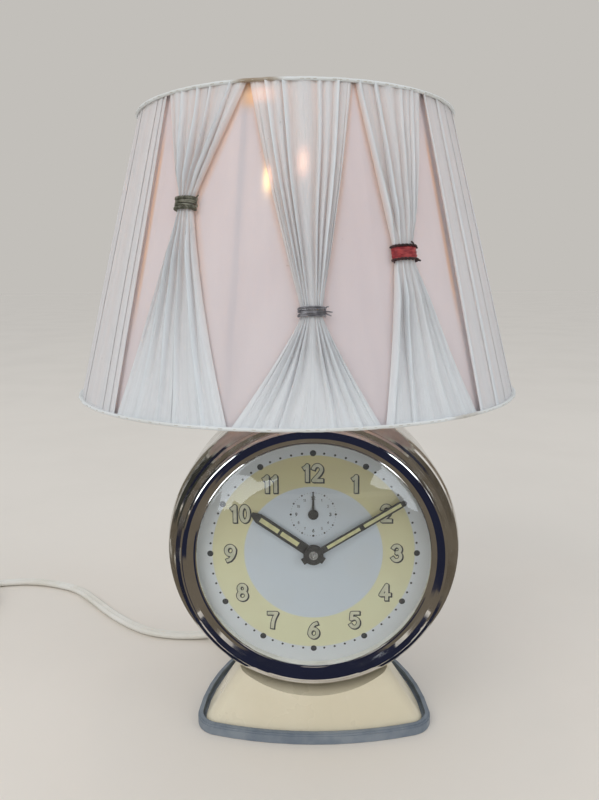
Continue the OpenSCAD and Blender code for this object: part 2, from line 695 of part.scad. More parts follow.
// Places children on a hand's plane, with the hand pointing along their Y
module minute_plane() arbor_at([0, 0], minute_hand_f) rotate([0, 0, -minute_a]) children();
module hour_plane() arbor_at([0, 0], hour_hand_f) rotate([0, 0, -hour_a]) children();
module minute_hand() color("black") minute_plane() difference() {
  union() {
    hand_blade(minute_l, 3, 2);
    hand_hub();
  }
  slots(minute_slots, minute_slot_w, 2, -1);
  translate([0, 0, -1]) cylinder(h = 3, r = cannon_r, $fn = 48);
}
module minute_lume() color("khaki") minute_plane() slots(minute_slots, minute_slot_w, hand_t, 0);
module hour_hand() color("black") hour_plane() difference() {
  union() {
    hand_blade(hour_l, 4.6, 3.6);
    hand_hub();
  }
  slots(hour_slots, hour_slot_w, 2, -1);
  translate([0, 0, -1]) cylinder(h = 3, r = hour_pipe_r, $fn = 48);
}
module hour_lume() color("khaki") hour_plane() slots(hour_slots, hour_slot_w, hand_t, 0);
module drum(p, f0, f1, r) difference() {
  bar(p, f0, f1, r);
  bar(p, f0 - 1, f1 + 1, key_arbor_r + run);
}
module time_barrel() color("darkgoldenrod") {
  drum(barrel_p, great_wheel_f + great_wheel_t, plate_front_f - plate_t - 2.4, 14.8);
  difference() {
    arbor_at(barrel_p, great_wheel_f)
      wheel(barrel_n, barrel_m, great_wheel_t, barrel_dir + 180 + 180 / barrel_n);
    bar(barrel_p, great_wheel_f - 1, great_wheel_f + 2, key_arbor_r + run);
  }
}
module alarm_barrel() color("darkgoldenrod") {
  drum(alarm_barrel_p, great_wheel_f + great_wheel_t, plate_front_f - plate_t - 3, 12.8);
  drum(alarm_barrel_p, great_wheel_f, great_wheel_f + great_wheel_t, 13.6);
}
// Discs across the two wings of a key
module wing_discs(r, t) for (x = [-1, 1])
  translate([x * (key_w / 2 - key_wing_r), t / 2, key_wing_r]) rotate([90, 0, 0])
    cylinder(h = t, r = r, $fn = 40);
module wing_key(p) {
  bar(p, knob_f - 2, plate_front_f, key_arbor_r);
  arbor_at(p, knob_f - 14) difference() {
    union() {
      translate([4 - key_w / 2, -key_t / 2, 0]) cube([key_w - 8, key_t, 2 * key_wing_r]);
      wing_discs(key_wing_r, key_t);
      cylinder(h = 12.5, r = 3.4, $fn = 32);
    }
    wing_discs(2.2, 6);
  }
}
module time_key() color("silver") wing_key(barrel_p);
module alarm_key() color("silver") wing_key(alarm_barrel_p);
module third_wheel() color("gold") {
  bar(third_p, back_rear_f, plate_front_f, pivot_r);
  arbor_at(third_p, centre_wheel_f - 0.4)
    pinion(third_pinion_n, centre_m, 1.8, third_dir + 180 + 180 / third_pinion_n);
  arbor_at(third_p, third_wheel_f)
    spoked_wheel(third_n, third_m, 1, escape_dir, pivot_r - 0.1);
}
module escape_wheel() color("gold") {
  bar(escape_p, back_rear_f, plate_front_f, pivot_r);
  arbor_at(escape_p, third_wheel_f - 0.4)
    pinion(escape_pinion_n, third_m, 1.8, escape_dir + 180 + 180 / escape_pinion_n);
  arbor_at(escape_p, escape_f) linear_extrude(1)
    polygon([for (k = [0 : 14], s = [0 : 2]) let (a = 24 * k + [0, 4, 9][s], r = [5.2, 7, 5.2][s])
      r * [cos(a), sin(a)]]);
}
module pallet_lever() color("silver") {
  bar(pallet_p, back_rear_f, plate_front_f, pivot_r);
  arbor_at(pallet_p, escape_f + 1.6) {
    cylinder(h = 1, r = 2.8, $fn = 32);
    rotate([0, 0, lever_a]) translate([0, -0.8, 0]) cube([norm(balance_p - pallet_p) - 3.2, 1.6, 1]);
    for (s = [-35, 35]) rotate([0, 0, pallet_a + s])
      translate([pallet_pin, 0, -1.8]) cylinder(h = 2, r = 0.35, $fn = 16);
  }
}
function spiral(w) = [for (i = [0 : spiral_turns * spiral_steps])
  let (a = 360 * i / spiral_steps, r = 0.9 + 1.1 * i / spiral_steps + w) r * [cos(a), sin(a)]];
module balance_wheel() color("gold") {
  bar(balance_p, back_rear_f, plate_front_f, pivot_r);
  bar(balance_p, escape_f + 1.2, escape_f + 3, 2.2);
  arbor_at(balance_p, escape_f - 3.4) {
    difference() {
      cylinder(h = 1.6, r = balance_rim_r, $fn = 64);
      translate([0, 0, -1]) cylinder(h = 4, r = balance_rim_r - rim_w, $fn = 64);
    }
    translate([1 - balance_rim_r, -spoke_w / 2, 0.3]) cube([2 * balance_rim_r - 2, spoke_w, 1]);
    cylinder(h = 1.6, r = 1.6, $fn = 32);
  }
  arbor_at(balance_p, escape_f + 5) {
    linear_extrude(0.8) polygon(concat(spiral(-spiral_w / 2), reversed(spiral(spiral_w / 2))));
    cylinder(h = 0.8, r = 1.4, $fn = 32);
  }
}

// Alarm side
module alarm_hand() color("black") {
  bar(alarm_p, knob_f, alarm_hand_f, alarm_arbor_r);
  arbor_at(alarm_p, alarm_hand_f) {
    cylinder(h = alarm_hand_t, r = 2.3, $fn = 32);
    linear_extrude(alarm_hand_t) polygon([[-0.6, 0], [0.6, 0], [0.35, alarm_l], [-0.35, alarm_l]]);
  }
}
module alarm_set_knob() color("goldenrod") arbor_at(alarm_p, knob_f - knob_l + knob_seat) difference() {
  knob(4.4);
  translate([0, 0, knob_l - knob_seat]) cylinder(h = 3, r = alarm_arbor_r, $fn = 32);
}
module hammer() color("gray") {
  bar(hammer_p, hammer_f, plate_front_f, pivot_r);
  arbor_at(hammer_p, hammer_f) rotate([0, 0, atan2(hammer_head.y, hammer_head.x)])
    translate([-1.6, -1, 0]) cube([norm(hammer_head), 2, 1.2]);
  bar(hammer_p + hammer_head, hammer_f - 3, hammer_f + 3, hammer_head_r);
}
module stop_button() color("firebrick") {
  bar(stop_p, stop_head_f - 1, back_rear_f, stop_r);
  bar(stop_p, stop_head_f - 4, stop_head_f, 3.4);
}
module regulator() color("silver") {
  arbor_at(balance_p, index_f) difference() {
    union() {
      cylinder(h = 1, r = index_r + 1.2, $fn = 32);
      rotate([0, 0, regulator_a]) translate([0, -0.9, 0]) cube([regulator_l, 1.8, 1]);
    }
    translate([0, 0, -1]) cylinder(h = 3, r = index_r + run, $fn = 32);
  }
  bar(regulator_tip, knob_f - 1, index_f + 1, 1);
}

// Lamp stem and holder
module stem_tube() color("goldenrod") lamp(stem_bottom_z) difference() {
  cylinder(h = holder_z - 3 - stem_bottom_z, r = stem_r, $fn = 48);
  translate([0, 0, -1]) cylinder(h = 90, r = stem_bore_r, $fn = 48);
}
module stem_collar() color("goldenrod") difference() {
  union() {
    lamp(case_top_z - 4) cylinder(h = 7.5, r = collar_r, $fn = 64);
    lamp(case_top_z + 3.5) cylinder(h = 1.5, r = collar_r - 1.6, $fn = 64);
  }
  saddle_drum(case_r);
  lamp(stem_bottom_z) cylinder(h = 40, r = stem_r + run, $fn = 48);
}
module stem_nut() color("silver") difference() {
  union() {
    intersection() {
      lamp(stem_bottom_z + 5) cylinder(h = 20, r = collar_r, $fn = 64);
      saddle_drum(case_r - case_wall);
    }
    lamp(stem_bottom_z + 1) cylinder(h = 4, r = 8, $fn = 6);
  }
  lamp(stem_bottom_z) cylinder(h = 40, r = stem_r, $fn = 48);
}
module lampholder() color("goldenrod") difference() {
  lamp(0) rotate_extrude($fn = 96) polygon([
    [stem_r, holder_z - 8], [7, holder_z - 8], [8, holder_z - 5], [holder_r - 2, holder_z - 2],
    [holder_r, holder_z + 2], [holder_r, fitter_z - 2], [holder_r + flange_w, fitter_z - 2],
    [holder_r + flange_w, fitter_z], [holder_r, fitter_z], [holder_r, holder_top_z],
    [socket_r, holder_top_z],
    [socket_r, cap_bottom_z - 1], [holder_r - 1.4, cap_bottom_z - 3], [holder_r - 1.4, holder_z + 3],
    [holder_r - 4, holder_z - 0.4], [stem_r, holder_z - 3]
  ]);
  switch_axis() cylinder(h = 40, r = switch_r + run, $fn = 32);
}
module switch_axis() lamp(holder_z + 6) rotate([0, 0, switch_a]) rotate([0, 90, 0]) children();
module holder_insulator() color("ivory") lamp(holder_z + 3) difference() {
  union() {
    cylinder(h = 6.6, r = holder_r - 1.45, $fn = 64);
    for (x = [-3.6, 3.6]) translate([x, 0, 6.6])
      cylinder(h = cap_bottom_z - holder_z - 9.6, r = 1.6, $fn = 24);
  }
  rotate([0, 0, switch_a]) translate([4, 0, 3]) rotate([0, 90, 0])
    cylinder(h = 20, r = switch_r + gap, $fn = 32);
}
module switch_key() color("saddlebrown") switch_axis() {
  translate([0, 0, 6]) cylinder(h = holder_r, r = switch_r, $fn = 32);
  translate([0, 0, holder_r + 3]) {
    translate([-4.5, -1.2, 0]) cube([9, 2.4, 9]);
    translate([0, 1.2, 9]) rotate([90, 0, 0]) cylinder(h = 2.4, r = 4.5, $fn = 32);
    cylinder(h = 2.4, r = 2.6, $fn = 32);
  }
}
module shade_nut() color("goldenrod") lamp(fitter_z + ring_t) difference() {
  cylinder(h = 4, r = holder_r + nut_w, $fn = 64);
  translate([0, 0, -1]) cylinder(h = 6, r = holder_r, $fn = 64);
  for (a = [0 : 15 : 345]) rotate([0, 0, a])
    translate([holder_r + nut_w + 0.4, 0, -1]) cylinder(h = 6, r = 0.8, $fn = 16);
}
module bulb_cap() color("silver") lamp(cap_bottom_z)
  cylinder(h = glass_z - cap_bottom_z, r = bulb_cap_r, $fn = 64);
function bulb_profile(t) = concat(
  [[bulb_neck_r - t, glass_z], [bulb_neck_r - t, glass_z + 5]],
  [for (i = [0 : 14]) let (a = -50 + 10 * i) [(bulb_r - t) * cos(a), bulb_c_z + (bulb_r - t) * sin(a)]]
);
module bulb_glass() color("lightyellow", 0.4) lamp(0) rotate_extrude($fn = 96)
  polygon(concat(bulb_profile(0), reversed(bulb_profile(bulb_wall))));
module bulb_filament() color("orange") lamp(0) {
  translate([0, 0, glass_z]) cylinder(h = mount_h, r1 = 5, r2 = mount_top_r, $fn = 32);
  for (x = [-1, 1]) translate([x * (filament_r - wire_run.x), 0, glass_z + mount_h - 0.1])
    rotate([0, x * atan(wire_run.x / wire_run.y), 0]) cylinder(h = norm(wire_run), r = 0.4, $fn = 16);
  translate([0, 0, filament_z]) rotate_extrude(angle = 180, $fn = 48)
    translate([filament_r, 0]) circle(r = 0.6, $fn = 16);
}

// Shade frame
module arms(r) for (i = [0 : arm_count - 1])
  lamp(fitter_z + 0.4) rotate([0, 0, arm_start_a + 360 * i / arm_count])
    translate([arm_in, 0, 0]) rotate([0, 90 + atan(arm_drop / arm_reach), 0])
      cylinder(h = norm([arm_drop, arm_reach]), r = r, $fn = 24);
module shade_fitter() color("silver") {
  lamp(fitter_z) difference() {
    cylinder(h = ring_t, r = holder_r + nut_w + 0.6, $fn = 64);
    translate([0, 0, -1]) cylinder(h = 4, r = holder_r + 0.2, $fn = 64);
  }
  difference() {
    arms(arm_r);
    wire_ring(ring_z0, ring_r0);
    lamp(fitter_z - 2) cylinder(h = 2, r = holder_r + flange_w, $fn = 96);
    lamp(fitter_z + ring_t) cylinder(h = 4, r = holder_r + nut_w, $fn = 64);
  }
}
module wire_ring(z, r)
  lamp(z) rotate_extrude($fn = 128) translate([r, 0]) circle(r = ring_w_r, $fn = 24);
module shade_frame() color("silver") {
  wire_ring(ring_z0, ring_r0);
  wire_ring(ring_z1, ring_r1);
  for (i = [0 : rib_count - 1])
    lamp(ring_z0) rotate([0, 0, rib_start_a - 90 + 360 * i / rib_count]) translate([ring_r0, 0, 0])
      rotate([0, atan((ring_r1 - ring_r0) / (ring_z1 - ring_z0)), 0])
        cylinder(h = norm([ring_r1 - ring_r0, ring_z1 - ring_z0]), r = rib_r, $fn = 16);
}

// Shade cloth
module shade_lining() color("mistyrose") lamp(cloth_z) rotate_extrude($fn = 128) polygon([
  [shade_r0 - lining_out, 0], [shade_r1 - lining_out, cloth_h],
  [shade_r1 - lining_in, cloth_h], [shade_r0 - lining_in, 0]
]);
// Half width of a gather at share h of the height, and its middle
function held(g) = g[5] / 2 / cloth_h + 0.003;
function pinch(g, h) = max(0, abs(h - g[3]) - held(g)) / ((h < g[3] ? g[3] : 1 - g[3]) - held(g));
function tie_half(g) = asin((g[4] / 2 - tie_t) / shade_r(g[3]));
function gather_half(g, h) = tie_half(g) + (g[1] - tie_half(g)) * pinch(g, h);
function gather_mid(g, h) = g[2] + (g[0] - g[2]) * pinch(g, h);
// Columns of the cover at share h: azimuth from the front and height of the fold
function gather_columns(g, h) = [for (i = [0 : gather_cols])
  let (u = 2 * i / gather_cols - 1, squeeze = 1 - pinch(g, h))
  [gather_mid(g, h) + u * gather_half(g, h),
    (i % 2 == 0 ? 0.9 : 0.5) * (1 - squeeze) + squeeze * (0.6 + crest * sqrt(1 - u * u))]];
function gap_columns(a0, a1) = [for (i = [1 : gap_cols]) [a0 + (a1 - a0) * i / (gap_cols + 1), 0.15]];
function edge(g, h, side) = gather_mid(g, h) + side * gather_half(g, h);
function plain_columns() = [for (i = [0 : 2 * pleat_count])
  [last_a + (360 + first_a - last_a) * i / (2 * pleat_count), i % 2 == 0 ? 0.4 : 1.3]];
function columns(h) = concat(
  gap_columns(first_a, edge(gathers[0], h, -1)), gather_columns(gathers[0], h),
  gap_columns(edge(gathers[0], h, 1), edge(gathers[1], h, -1)), gather_columns(gathers[1], h),
  gap_columns(edge(gathers[1], h, 1), edge(gathers[2], h, -1)), gather_columns(gathers[2], h),
  gap_columns(edge(gathers[2], h, 1), last_a), plain_columns()
);
function on_shade(a, r, h) = [stem_x + r * sin(a), -r * cos(a), cloth_z + cloth_h * h];
function cover_ring(h) = [for (c = columns(h))
  on_shade(c[0], shade_r(h) - 1 + (h == 0 || h == 1 ? min(c[1], 0.8) : c[1]), h)];
function cover_back(h) = [for (c = columns(h)) on_shade(c[0], shade_r(h) - cover_in, h)];
// Triangles between the rings of points that start at a and b
function band(a, b, flip) = [for (i = [0 : cover_n - 1])
  let (j = (i + 1) % cover_n, p = a + i, q = a + j, r = b + i, s = b + j)
  each flip ? [[p, r, s], [p, s, q]] : [[p, s, r], [p, q, s]]];
module shade_cover() color("ghostwhite") polyhedron(
  points = concat([for (h = fold_rows) each cover_ring(h)], cover_back(0), cover_back(1)),
  faces = concat(
    [for (k = [0 : cover_rows - 2]) each band(k * cover_n, (k + 1) * cover_n, true)],
    band(cover_rows * cover_n, (cover_rows + 1) * cover_n, false),
    band((cover_rows - 1) * cover_n, (cover_rows + 1) * cover_n, true),
    band(0, cover_rows * cover_n, false)
  )
);
module trim(r) rotate_extrude($fn = 128) polygon([
  [r + trim_out, 0], [r + trim_out, trim_lip],
  [r + trim_out - trim_t, trim_lip], [r + trim_out - trim_t, trim_t],
  [r - trim_in, trim_t], [r - trim_in, trim_h],
  [r - trim_in - trim_t, trim_h], [r - trim_in - trim_t, 0]
]);
module shade_trims() color("antiquewhite") {
  difference() {
    lamp(shade_z) trim(shade_r0);
    arms(arm_r + 0.1);
  }
  lamp(shade_z + shade_h) mirror([0, 0, 1]) trim(shade_r1);
}
// Band round a gather: its legs reach back to the cloth beside the gather
module tie(g) {
  w = g[4] / 2;
  lamp(cloth_z + cloth_h * g[3]) rotate([0, 0, g[2]]) translate([0, 0.4 - shade_r(g[3]), 0])
    rotate([-shade_slope, 0, 0]) linear_extrude(g[5], center = true) difference() {
      union() {
        polygon(arc([0, 0], w, crest + tie_t, 180, 361, 20));
        translate([-w, 0]) square([2 * w, tie_base]);
      }
      polygon(arc([0, 0], w - tie_t, crest, 180, 361, 20));
      translate([tie_t - w, -0.01]) square([2 * w - 2 * tie_t, tie_base + 1]);
    }
}
module tie_left() color("darkslategray") tie(gathers[0]);
module tie_middle() color("dimgray") tie(gathers[1]);
module tie_right() color("firebrick") tie(gathers[2]);

// Mains lead
module relief_axis() translate(relief_p) rotate([0, 90 - relief_tilt, relief_az]) children();
module strain_relief() color("white") {
  difference() {
    relief_axis() translate([0, 0, -relief_back])
      cylinder(h = relief_l + relief_back, r1 = 6.4, r2 = 3.6, $fn = 48);
    foot_loft(0, 0);
  }
  relief_axis() translate([0, 0, -relief_back]) cylinder(h = 2 * relief_back, r = relief_core_r, $fn = 48);
}
// Ring of a tube's section at p, across the direction d, with sides corners
function level(d) = let (s = [-d.y, d.x, 0]) norm(s) > 0.001 ? s / norm(s) : [1, 0, 0];
function section(p, d, w, t, sides) = let (s = level(d), u = cross(d, s))
  [for (i = [0 : sides - 1]) let (a = 360 * (i + 0.5) / sides) p + s * w / 2 * cos(a) + u * t / 2 * sin(a)];
function along(path, i) = let (d = path[min(len(path) - 1, i + 1)] - path[max(0, i - 1)]) d / norm(d);
module tube(path, w, t, sides) {
  n = len(path);
  polyhedron(
    points = [for (i = [0 : n - 1]) each section(path[i], along(path, i), w, t, sides)],
    faces = concat(
      [for (i = [0 : n - 2], k = [0 : sides - 1]) let (j = (k + 1) % sides, a = i * sides, b = a + sides)
        each [[a + k, b + k, b + j], [a + k, b + j, a + j]]],
      [for (k = [1 : sides - 2]) [0, k, k + 1]],
      [for (k = [1 : sides - 2]) let (a = (n - 1) * sides) [a, a + k + 1, a + k]]
    )
  );
}
// Smooth points between route points
function smooth(p, i, t) =
  let (n = len(p), a = p[max(0, i - 1)], b = p[i], c = p[i + 1], d = p[min(n - 1, i + 2)])
  0.5 * ((2 * b) + (c - a) * t + (2 * a - 5 * b + 4 * c - d) * t * t + (3 * b - a - 3 * c + d) * t * t * t);
function route(p, steps) = concat(
  [for (i = [0 : len(p) - 2], k = [0 : steps - 1]) smooth(p, i, k / steps)], [p[len(p) - 1]]);
module cord() color("white") tube(route(cord_points, 2), cord_w, cord_t, 8);
// Coil of loops that spiral in and out by layers and climb where the spiral turns back
function coil_travel(t) =
  let (u = t % (2 * coil_layer_turns)) min(u, 2 * coil_layer_turns - u) * coil_pitch;
function coil_level(t, k = 1) = k == coil_layers ? 0 :
  min(1, max(0, (t - k * coil_layer_turns) / coil_climb + 0.5)) + coil_level(t, k + 1);
function coil_point(t) = let (r = coil_r_out - coil_travel(t), a = coil_start_a + 360 * t)
  [coil_c.x + r * cos(a), coil_c.y + r * sin(a), coil_z + coil_rise * coil_level(t)];
function tail_point(u) =
  coil_end + tail_l * u * tail_dir + [0, 0, (plug_z - coil_end.z) * (3 - 2 * u) * u * u];
module cord_coil() color("white") tube(coil_path, cord_w, cord_t, 6);
// Gap between two flat sections whose middles lie h apart across and v apart in height
function flat_gap(h, v) = min([for (a = [0 : 7.5 : 90]) norm([h - cord_w * cos(a), v - cord_t * sin(a)])]);
function pair_gap(p, q) = flat_gap(norm([p.x - q.x, p.y - q.y]), abs(p.z - q.z));
function path_length(p) = len(p) < 2 ? 0 : sum_steps([for (i = [1 : len(p) - 1]) norm(p[i] - p[i - 1])]);
function sum_steps(v) = v * [for (x = v) 1];
echo(coil_gap = coil_gap, lead_length = path_length(route(cord_points, 2)) + path_length(coil_path));
module coil_tie() color("white") {
  r_mid = coil_r_out - coil_layer_turns * coil_pitch / 2;
  half_w = coil_layer_turns * coil_pitch / 2 + cord_w / 2 + gap;
  out_w = half_w + coil_tie_t;
  stack_h = coil_rise * (coil_layers - 1) + cord_t + 0.2;
  translate([coil_c.x, coil_c.y, 0]) rotate([0, 0, coil_tie_a]) translate([r_mid, -coil_tie_w / 2, 0])
    difference() {
      translate([-out_w, 0, 0.02]) cube([2 * out_w, coil_tie_w, stack_h + coil_tie_t]);
      translate([-half_w, -1, 0.06]) cube([2 * half_w, coil_tie_w + 2, stack_h - 0.04]);
    }
}
module at_plug() translate(plug_p) rotate([0, 0, coil_end_a + 90]) children();
module plug_body() color("white") at_plug() translate([0, 0, -plug_t / 2]) linear_extrude(plug_t) polygon([
  [0, -5], [4, -8], [12, -10], [26, -16.6], [plug_l - 3, -17.4], [plug_l, -14.6],
  [plug_l, 14.6], [plug_l - 3, 17.4], [26, 16.6], [12, 10], [4, 8], [0, 5]
]);
module plug_pins() color("goldenrod") at_plug() for (s = [-1, 1])
  translate([plug_l, s * pin_gap / 2, 0]) rotate([0, 90, 0]) cylinder(h = pin_l, r = pin_r, $fn = 32);
module inner_lead() color("white") tube(lead_path, lead_w, lead_w, 8);

rubber_tray();
foot_shell();
foot_screws();
case_shell();
bezel();
crystal();
dial_ring();
dial();
dial_cup();
front_plate();
back_plate();
rear_cover();
cover_screws();
centre_arbor();
centre_wheel();
minute_hand();
minute_lume();
time_set_knob();
minute_wheel();
hour_wheel();
hour_hand();
hour_lume();
time_barrel();
time_key();
alarm_barrel();
alarm_key();
third_wheel();
escape_wheel();
pallet_lever();
balance_wheel();
alarm_hand();
alarm_set_knob();
hammer();
stop_button();
regulator();
stem_tube();
stem_collar();
stem_nut();
lampholder();
holder_insulator();
switch_key();
shade_nut();
bulb_cap();
bulb_glass();
bulb_filament();
shade_fitter();
shade_frame();
shade_lining();
shade_cover();
shade_trims();
tie_left();
tie_middle();
tie_right();
strain_relief();
inner_lead();
cord();
cord_coil();
coil_tie();
plug_body();
plug_pins();
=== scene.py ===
"""Looks of the alarm clock lamp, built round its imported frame.

Sizes and places on the object are millimetres, as in the CAD source, and Shape.make turns them into metres.
Those of the floor, the lamps and the cards are metres. +Z is up and the dial faces -Y.
"""
import bpy
import json
import random
from math import asin, atan, cos, degrees, exp, hypot, pi, radians, sin, sqrt
from mathutils import Matrix, Vector
from mathutils.geometry import delaunay_2d_cdt


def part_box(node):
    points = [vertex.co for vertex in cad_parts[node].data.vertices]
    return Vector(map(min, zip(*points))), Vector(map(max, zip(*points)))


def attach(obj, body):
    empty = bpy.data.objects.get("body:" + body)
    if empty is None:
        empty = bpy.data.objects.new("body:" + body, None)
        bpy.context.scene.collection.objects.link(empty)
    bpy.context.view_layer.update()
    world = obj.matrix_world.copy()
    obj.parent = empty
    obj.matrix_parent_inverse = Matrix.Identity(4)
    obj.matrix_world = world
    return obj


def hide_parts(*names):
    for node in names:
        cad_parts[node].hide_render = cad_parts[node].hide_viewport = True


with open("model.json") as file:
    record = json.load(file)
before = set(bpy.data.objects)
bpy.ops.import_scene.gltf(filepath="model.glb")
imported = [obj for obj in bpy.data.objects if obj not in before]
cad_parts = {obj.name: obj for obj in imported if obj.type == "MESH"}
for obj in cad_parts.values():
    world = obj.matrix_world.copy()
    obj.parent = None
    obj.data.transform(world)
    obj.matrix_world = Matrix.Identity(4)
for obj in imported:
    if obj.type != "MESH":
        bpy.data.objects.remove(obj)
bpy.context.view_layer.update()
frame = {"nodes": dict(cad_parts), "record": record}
nodes = frame["nodes"]
scene = bpy.context.scene
MM = 0.001
# The axis of stem and shade, and the height of the clock's middle
AXIS_X, CLOCK_Z = -7, 88.5

# Camera, where the photograph was taken from; the angles are radians
CAMERA_AT = Vector((-2.0, -314.1, 210.5)) * MM
PITCH, YAW, ROLL = 0.182, -0.013, -0.007
SENSOR, LENS, CLIP_START = 36, 30.6, 0.01
forward = Vector((sin(YAW) * cos(PITCH), cos(YAW) * cos(PITCH), -sin(PITCH)))
level_x = forward.cross(Vector((0, 0, 1))).normalized()
level_y = level_x.cross(forward)
camera_x = cos(ROLL) * level_x + sin(ROLL) * level_y
camera_y = cos(ROLL) * level_y - sin(ROLL) * level_x
camera = bpy.data.objects.new("camera", bpy.data.cameras.new("camera"))
camera_turn = Matrix((camera_x, camera_y, -forward)).transposed().to_4x4()
camera.matrix_world = Matrix.Translation(CAMERA_AT) @ camera_turn
camera.data.sensor_width = SENSOR
camera.data.lens = LENS
camera.data.clip_start = CLIP_START
scene.collection.objects.link(camera)
scene.camera = camera
scene.view_settings.view_transform = "Standard"


def heading(path, i):
    """Direction of the path at its point i."""
    return (path[min(i + 1, len(path) - 1)] - path[max(i - 1, 0)]).normalized()


class Shape:
    """Points in millimetres and faces, gathered until they are made into one mesh."""

    def __init__(self):
        self.points, self.faces, self.tints, self.flows, self.hots = [], [], [], [], []

    def grid(self, rows, closed=False, tints=None):
        """Joins rows of points into a surface. closed joins the end of each row to its start."""
        base, n = len(self.points), len(rows[0])
        for i, row in enumerate(rows):
            self.points += [Vector(p) for p in row]
            self.tints += tints[i] if tints else [0.0] * n
        for i in range(len(rows) - 1):
            for j in range(n if closed else n - 1):
                k = (j + 1) % n
                a = base + i * n
                self.faces.append((a + j, a + k, a + n + k, a + n + j))
        return base

    def cloth(self, rows, closed=False):
        """Surface of (point, tint, glow) or (point, tint, glow, flow); all but the point become attributes,
        glow being the strength of a painted lamp glow.
        """
        points, tints = ([[spot[k] for spot in row] for row in rows] for k in (0, 1))
        self.grid(points, closed, tints)
        for row in rows:
            self.hots += [spot[2] for spot in row]
            self.flows += [x for spot in row for flow in spot[3:] for x in flow]

    def cap(self, base, n, flip=False):
        """Closes a ring of n points with one face."""
        ring = list(range(base, base + n))
        self.faces.append(tuple(reversed(ring)) if flip else tuple(ring))

    def closed_rings(self, rings):
        """Joins rings of points into a tube and closes both of its ends."""
        n = len(rings[0])
        base = self.grid(rings, closed=True)
        self.cap(base, n, flip=True)
        self.cap(base + (len(rings) - 1) * n, n)

    def tube(self, path, radius, sides=8, grow=None):
        """Round tube along a path. grow gives a share of the radius at each share of the path."""
        side = None
        rings = []
        for i, p in enumerate(path):
            d = heading(path, i)
            if side is None:
                side = d.orthogonal().normalized()
            side = (side - side.dot(d) * d).normalized()
            over = d.cross(side)
            r = radius * (grow(i / (len(path) - 1)) if grow else 1)
            rings.append([p + r * (cos(a) * side + sin(a) * over)
                          for a in (2 * pi * k / sides for k in range(sides))])
        self.closed_rings(rings)

    def level_tube(self, path, section):
        """Tube whose section stays level: section is (across, up) pairs."""
        rings = []
        for i, p in enumerate(path):
            d = heading(path, i)
            side = Vector((-d.y, d.x, 0))
            side = side.normalized() if side.length > 0.001 else Vector((1, 0, 0))
            over = d.cross(side)
            rings.append([p + x * side + z * over for x, z in section])
        self.closed_rings(rings)

    def spin(self, profile, place, steps):
        """Turns a profile of (radius, along) pairs; place(a, r, t) gives the point."""
        rows = [[place(2 * pi * k / steps, r, t) for k in range(steps)] for r, t in profile]
        return self.grid(rows, closed=True)

    def make(self, name, smooth=True):
        mesh = bpy.data.meshes.new(name)
        mesh.from_pydata([p * MM for p in self.points], [], self.faces)
        mesh.update()
        mesh.polygons.foreach_set("use_smooth", [smooth] * len(mesh.polygons))
        for key, kind, field, values in (("tint", "FLOAT", "value", self.tints if any(self.tints) else []),
                                         ("hot", "FLOAT", "value", self.hots),
                                         ("flow", "FLOAT_VECTOR", "vector", self.flows)):
            if values:
                mesh.attributes.new(key, kind, "POINT").data.foreach_set(field, values)
        obj = bpy.data.objects.new(name, mesh)
        scene.collection.objects.link(obj)
        return obj


def smooth_route(points, steps):
    """Catmull-Rom curve through the points."""
    out = []
    n = len(points)
    for i in range(n - 1):
        a, b, c, d = points[max(0, i - 1)], points[i], points[i + 1], points[min(n - 1, i + 2)]
        for k in range(steps):
            t = k / steps
            out.append(0.5 * (2 * b + (c - a) * t + (2 * a - 5 * b + 4 * c - d) * t * t
                              + (3 * b - a - 3 * c + d) * t * t * t))
    return out + [points[-1]]


def put(obj, body, slot, material, *replaced):
    """Finishes a piece: its body, its material and the nodes that it stands for. The slot is not used."""
    obj.data.materials.clear()
    obj.data.materials.append(material)
    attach(obj, body)
    if replaced:
        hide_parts(*replaced)
    return obj


# Materials
def add(tree, kind, inputs=None, **settings):
    """Adds a shader node; an input is a value or another node's socket."""
    node = tree.nodes.new("ShaderNode" + kind)
    for key, value in settings.items():
        setattr(node, key, value)
    for key, value in (inputs or {}).items():
        if isinstance(value, bpy.types.NodeSocket):
            tree.links.new(value, node.inputs[key])
        else:
            node.inputs[key].default_value = value
    return node


def blank(name):
    material = bpy.data.materials.new(name)
    material.use_nodes = True
    material.node_tree.nodes.clear()
    return material, material.node_tree


def finished(material, shader):
    """The material, with the shader as its surface."""
    tree = material.node_tree
    tree.links.new(shader.outputs[0], add(tree, "OutputMaterial").inputs["Surface"])
    return material


def noise_at(tree, place, scale, detail, rough=0.55):
    """Noise over the coordinates that the socket place gives."""
    inputs = {"Vector": place, "Scale": scale, "Detail": detail, "Roughness": rough}
    return add(tree, "TexNoise", inputs).outputs["Fac"]


def noise_of(tree, scale, detail, stretch=(1, 1, 1)):
    """Noise in the object's own frame, scale in waves a metre."""
    place = add(tree, "TexCoord").outputs["Object"]
    if stretch != (1, 1, 1):
        place = add(tree, "Mapping", {"Vector": place, "Scale": stretch}).outputs[0]
    return noise_at(tree, place, scale, detail)


def maths(tree, operation, *values):
    return add(tree, "Math", dict(enumerate(values)), operation=operation).outputs[0]


def spread(tree, value, low, high, out_low=0.0, out_high=1.0):
    """Stretches the part of value from low to high over out_low to out_high."""
    return add(tree, "MapRange", {"Value": value, "From Min": low, "From Max": high,
                                  "To Min": out_low, "To Max": out_high}).outputs[0]


def mix(tree, fac, a, b):
    node = add(tree, "Mix", data_type="RGBA")
    for socket, value in ((node.inputs[0], fac), (node.inputs[6], a), (node.inputs[7], b)):
        if isinstance(value, bpy.types.NodeSocket):
            tree.links.new(value, socket)
        else:
            socket.default_value = (*value, 1) if isinstance(value, tuple) and len(value) == 3 else value
    return node.outputs[2]


def bump_of(tree, height, distance):
    """Bump from a height, distance in metres."""
    return add(tree, "Bump", {"Height": height, "Distance": distance}).outputs[0]


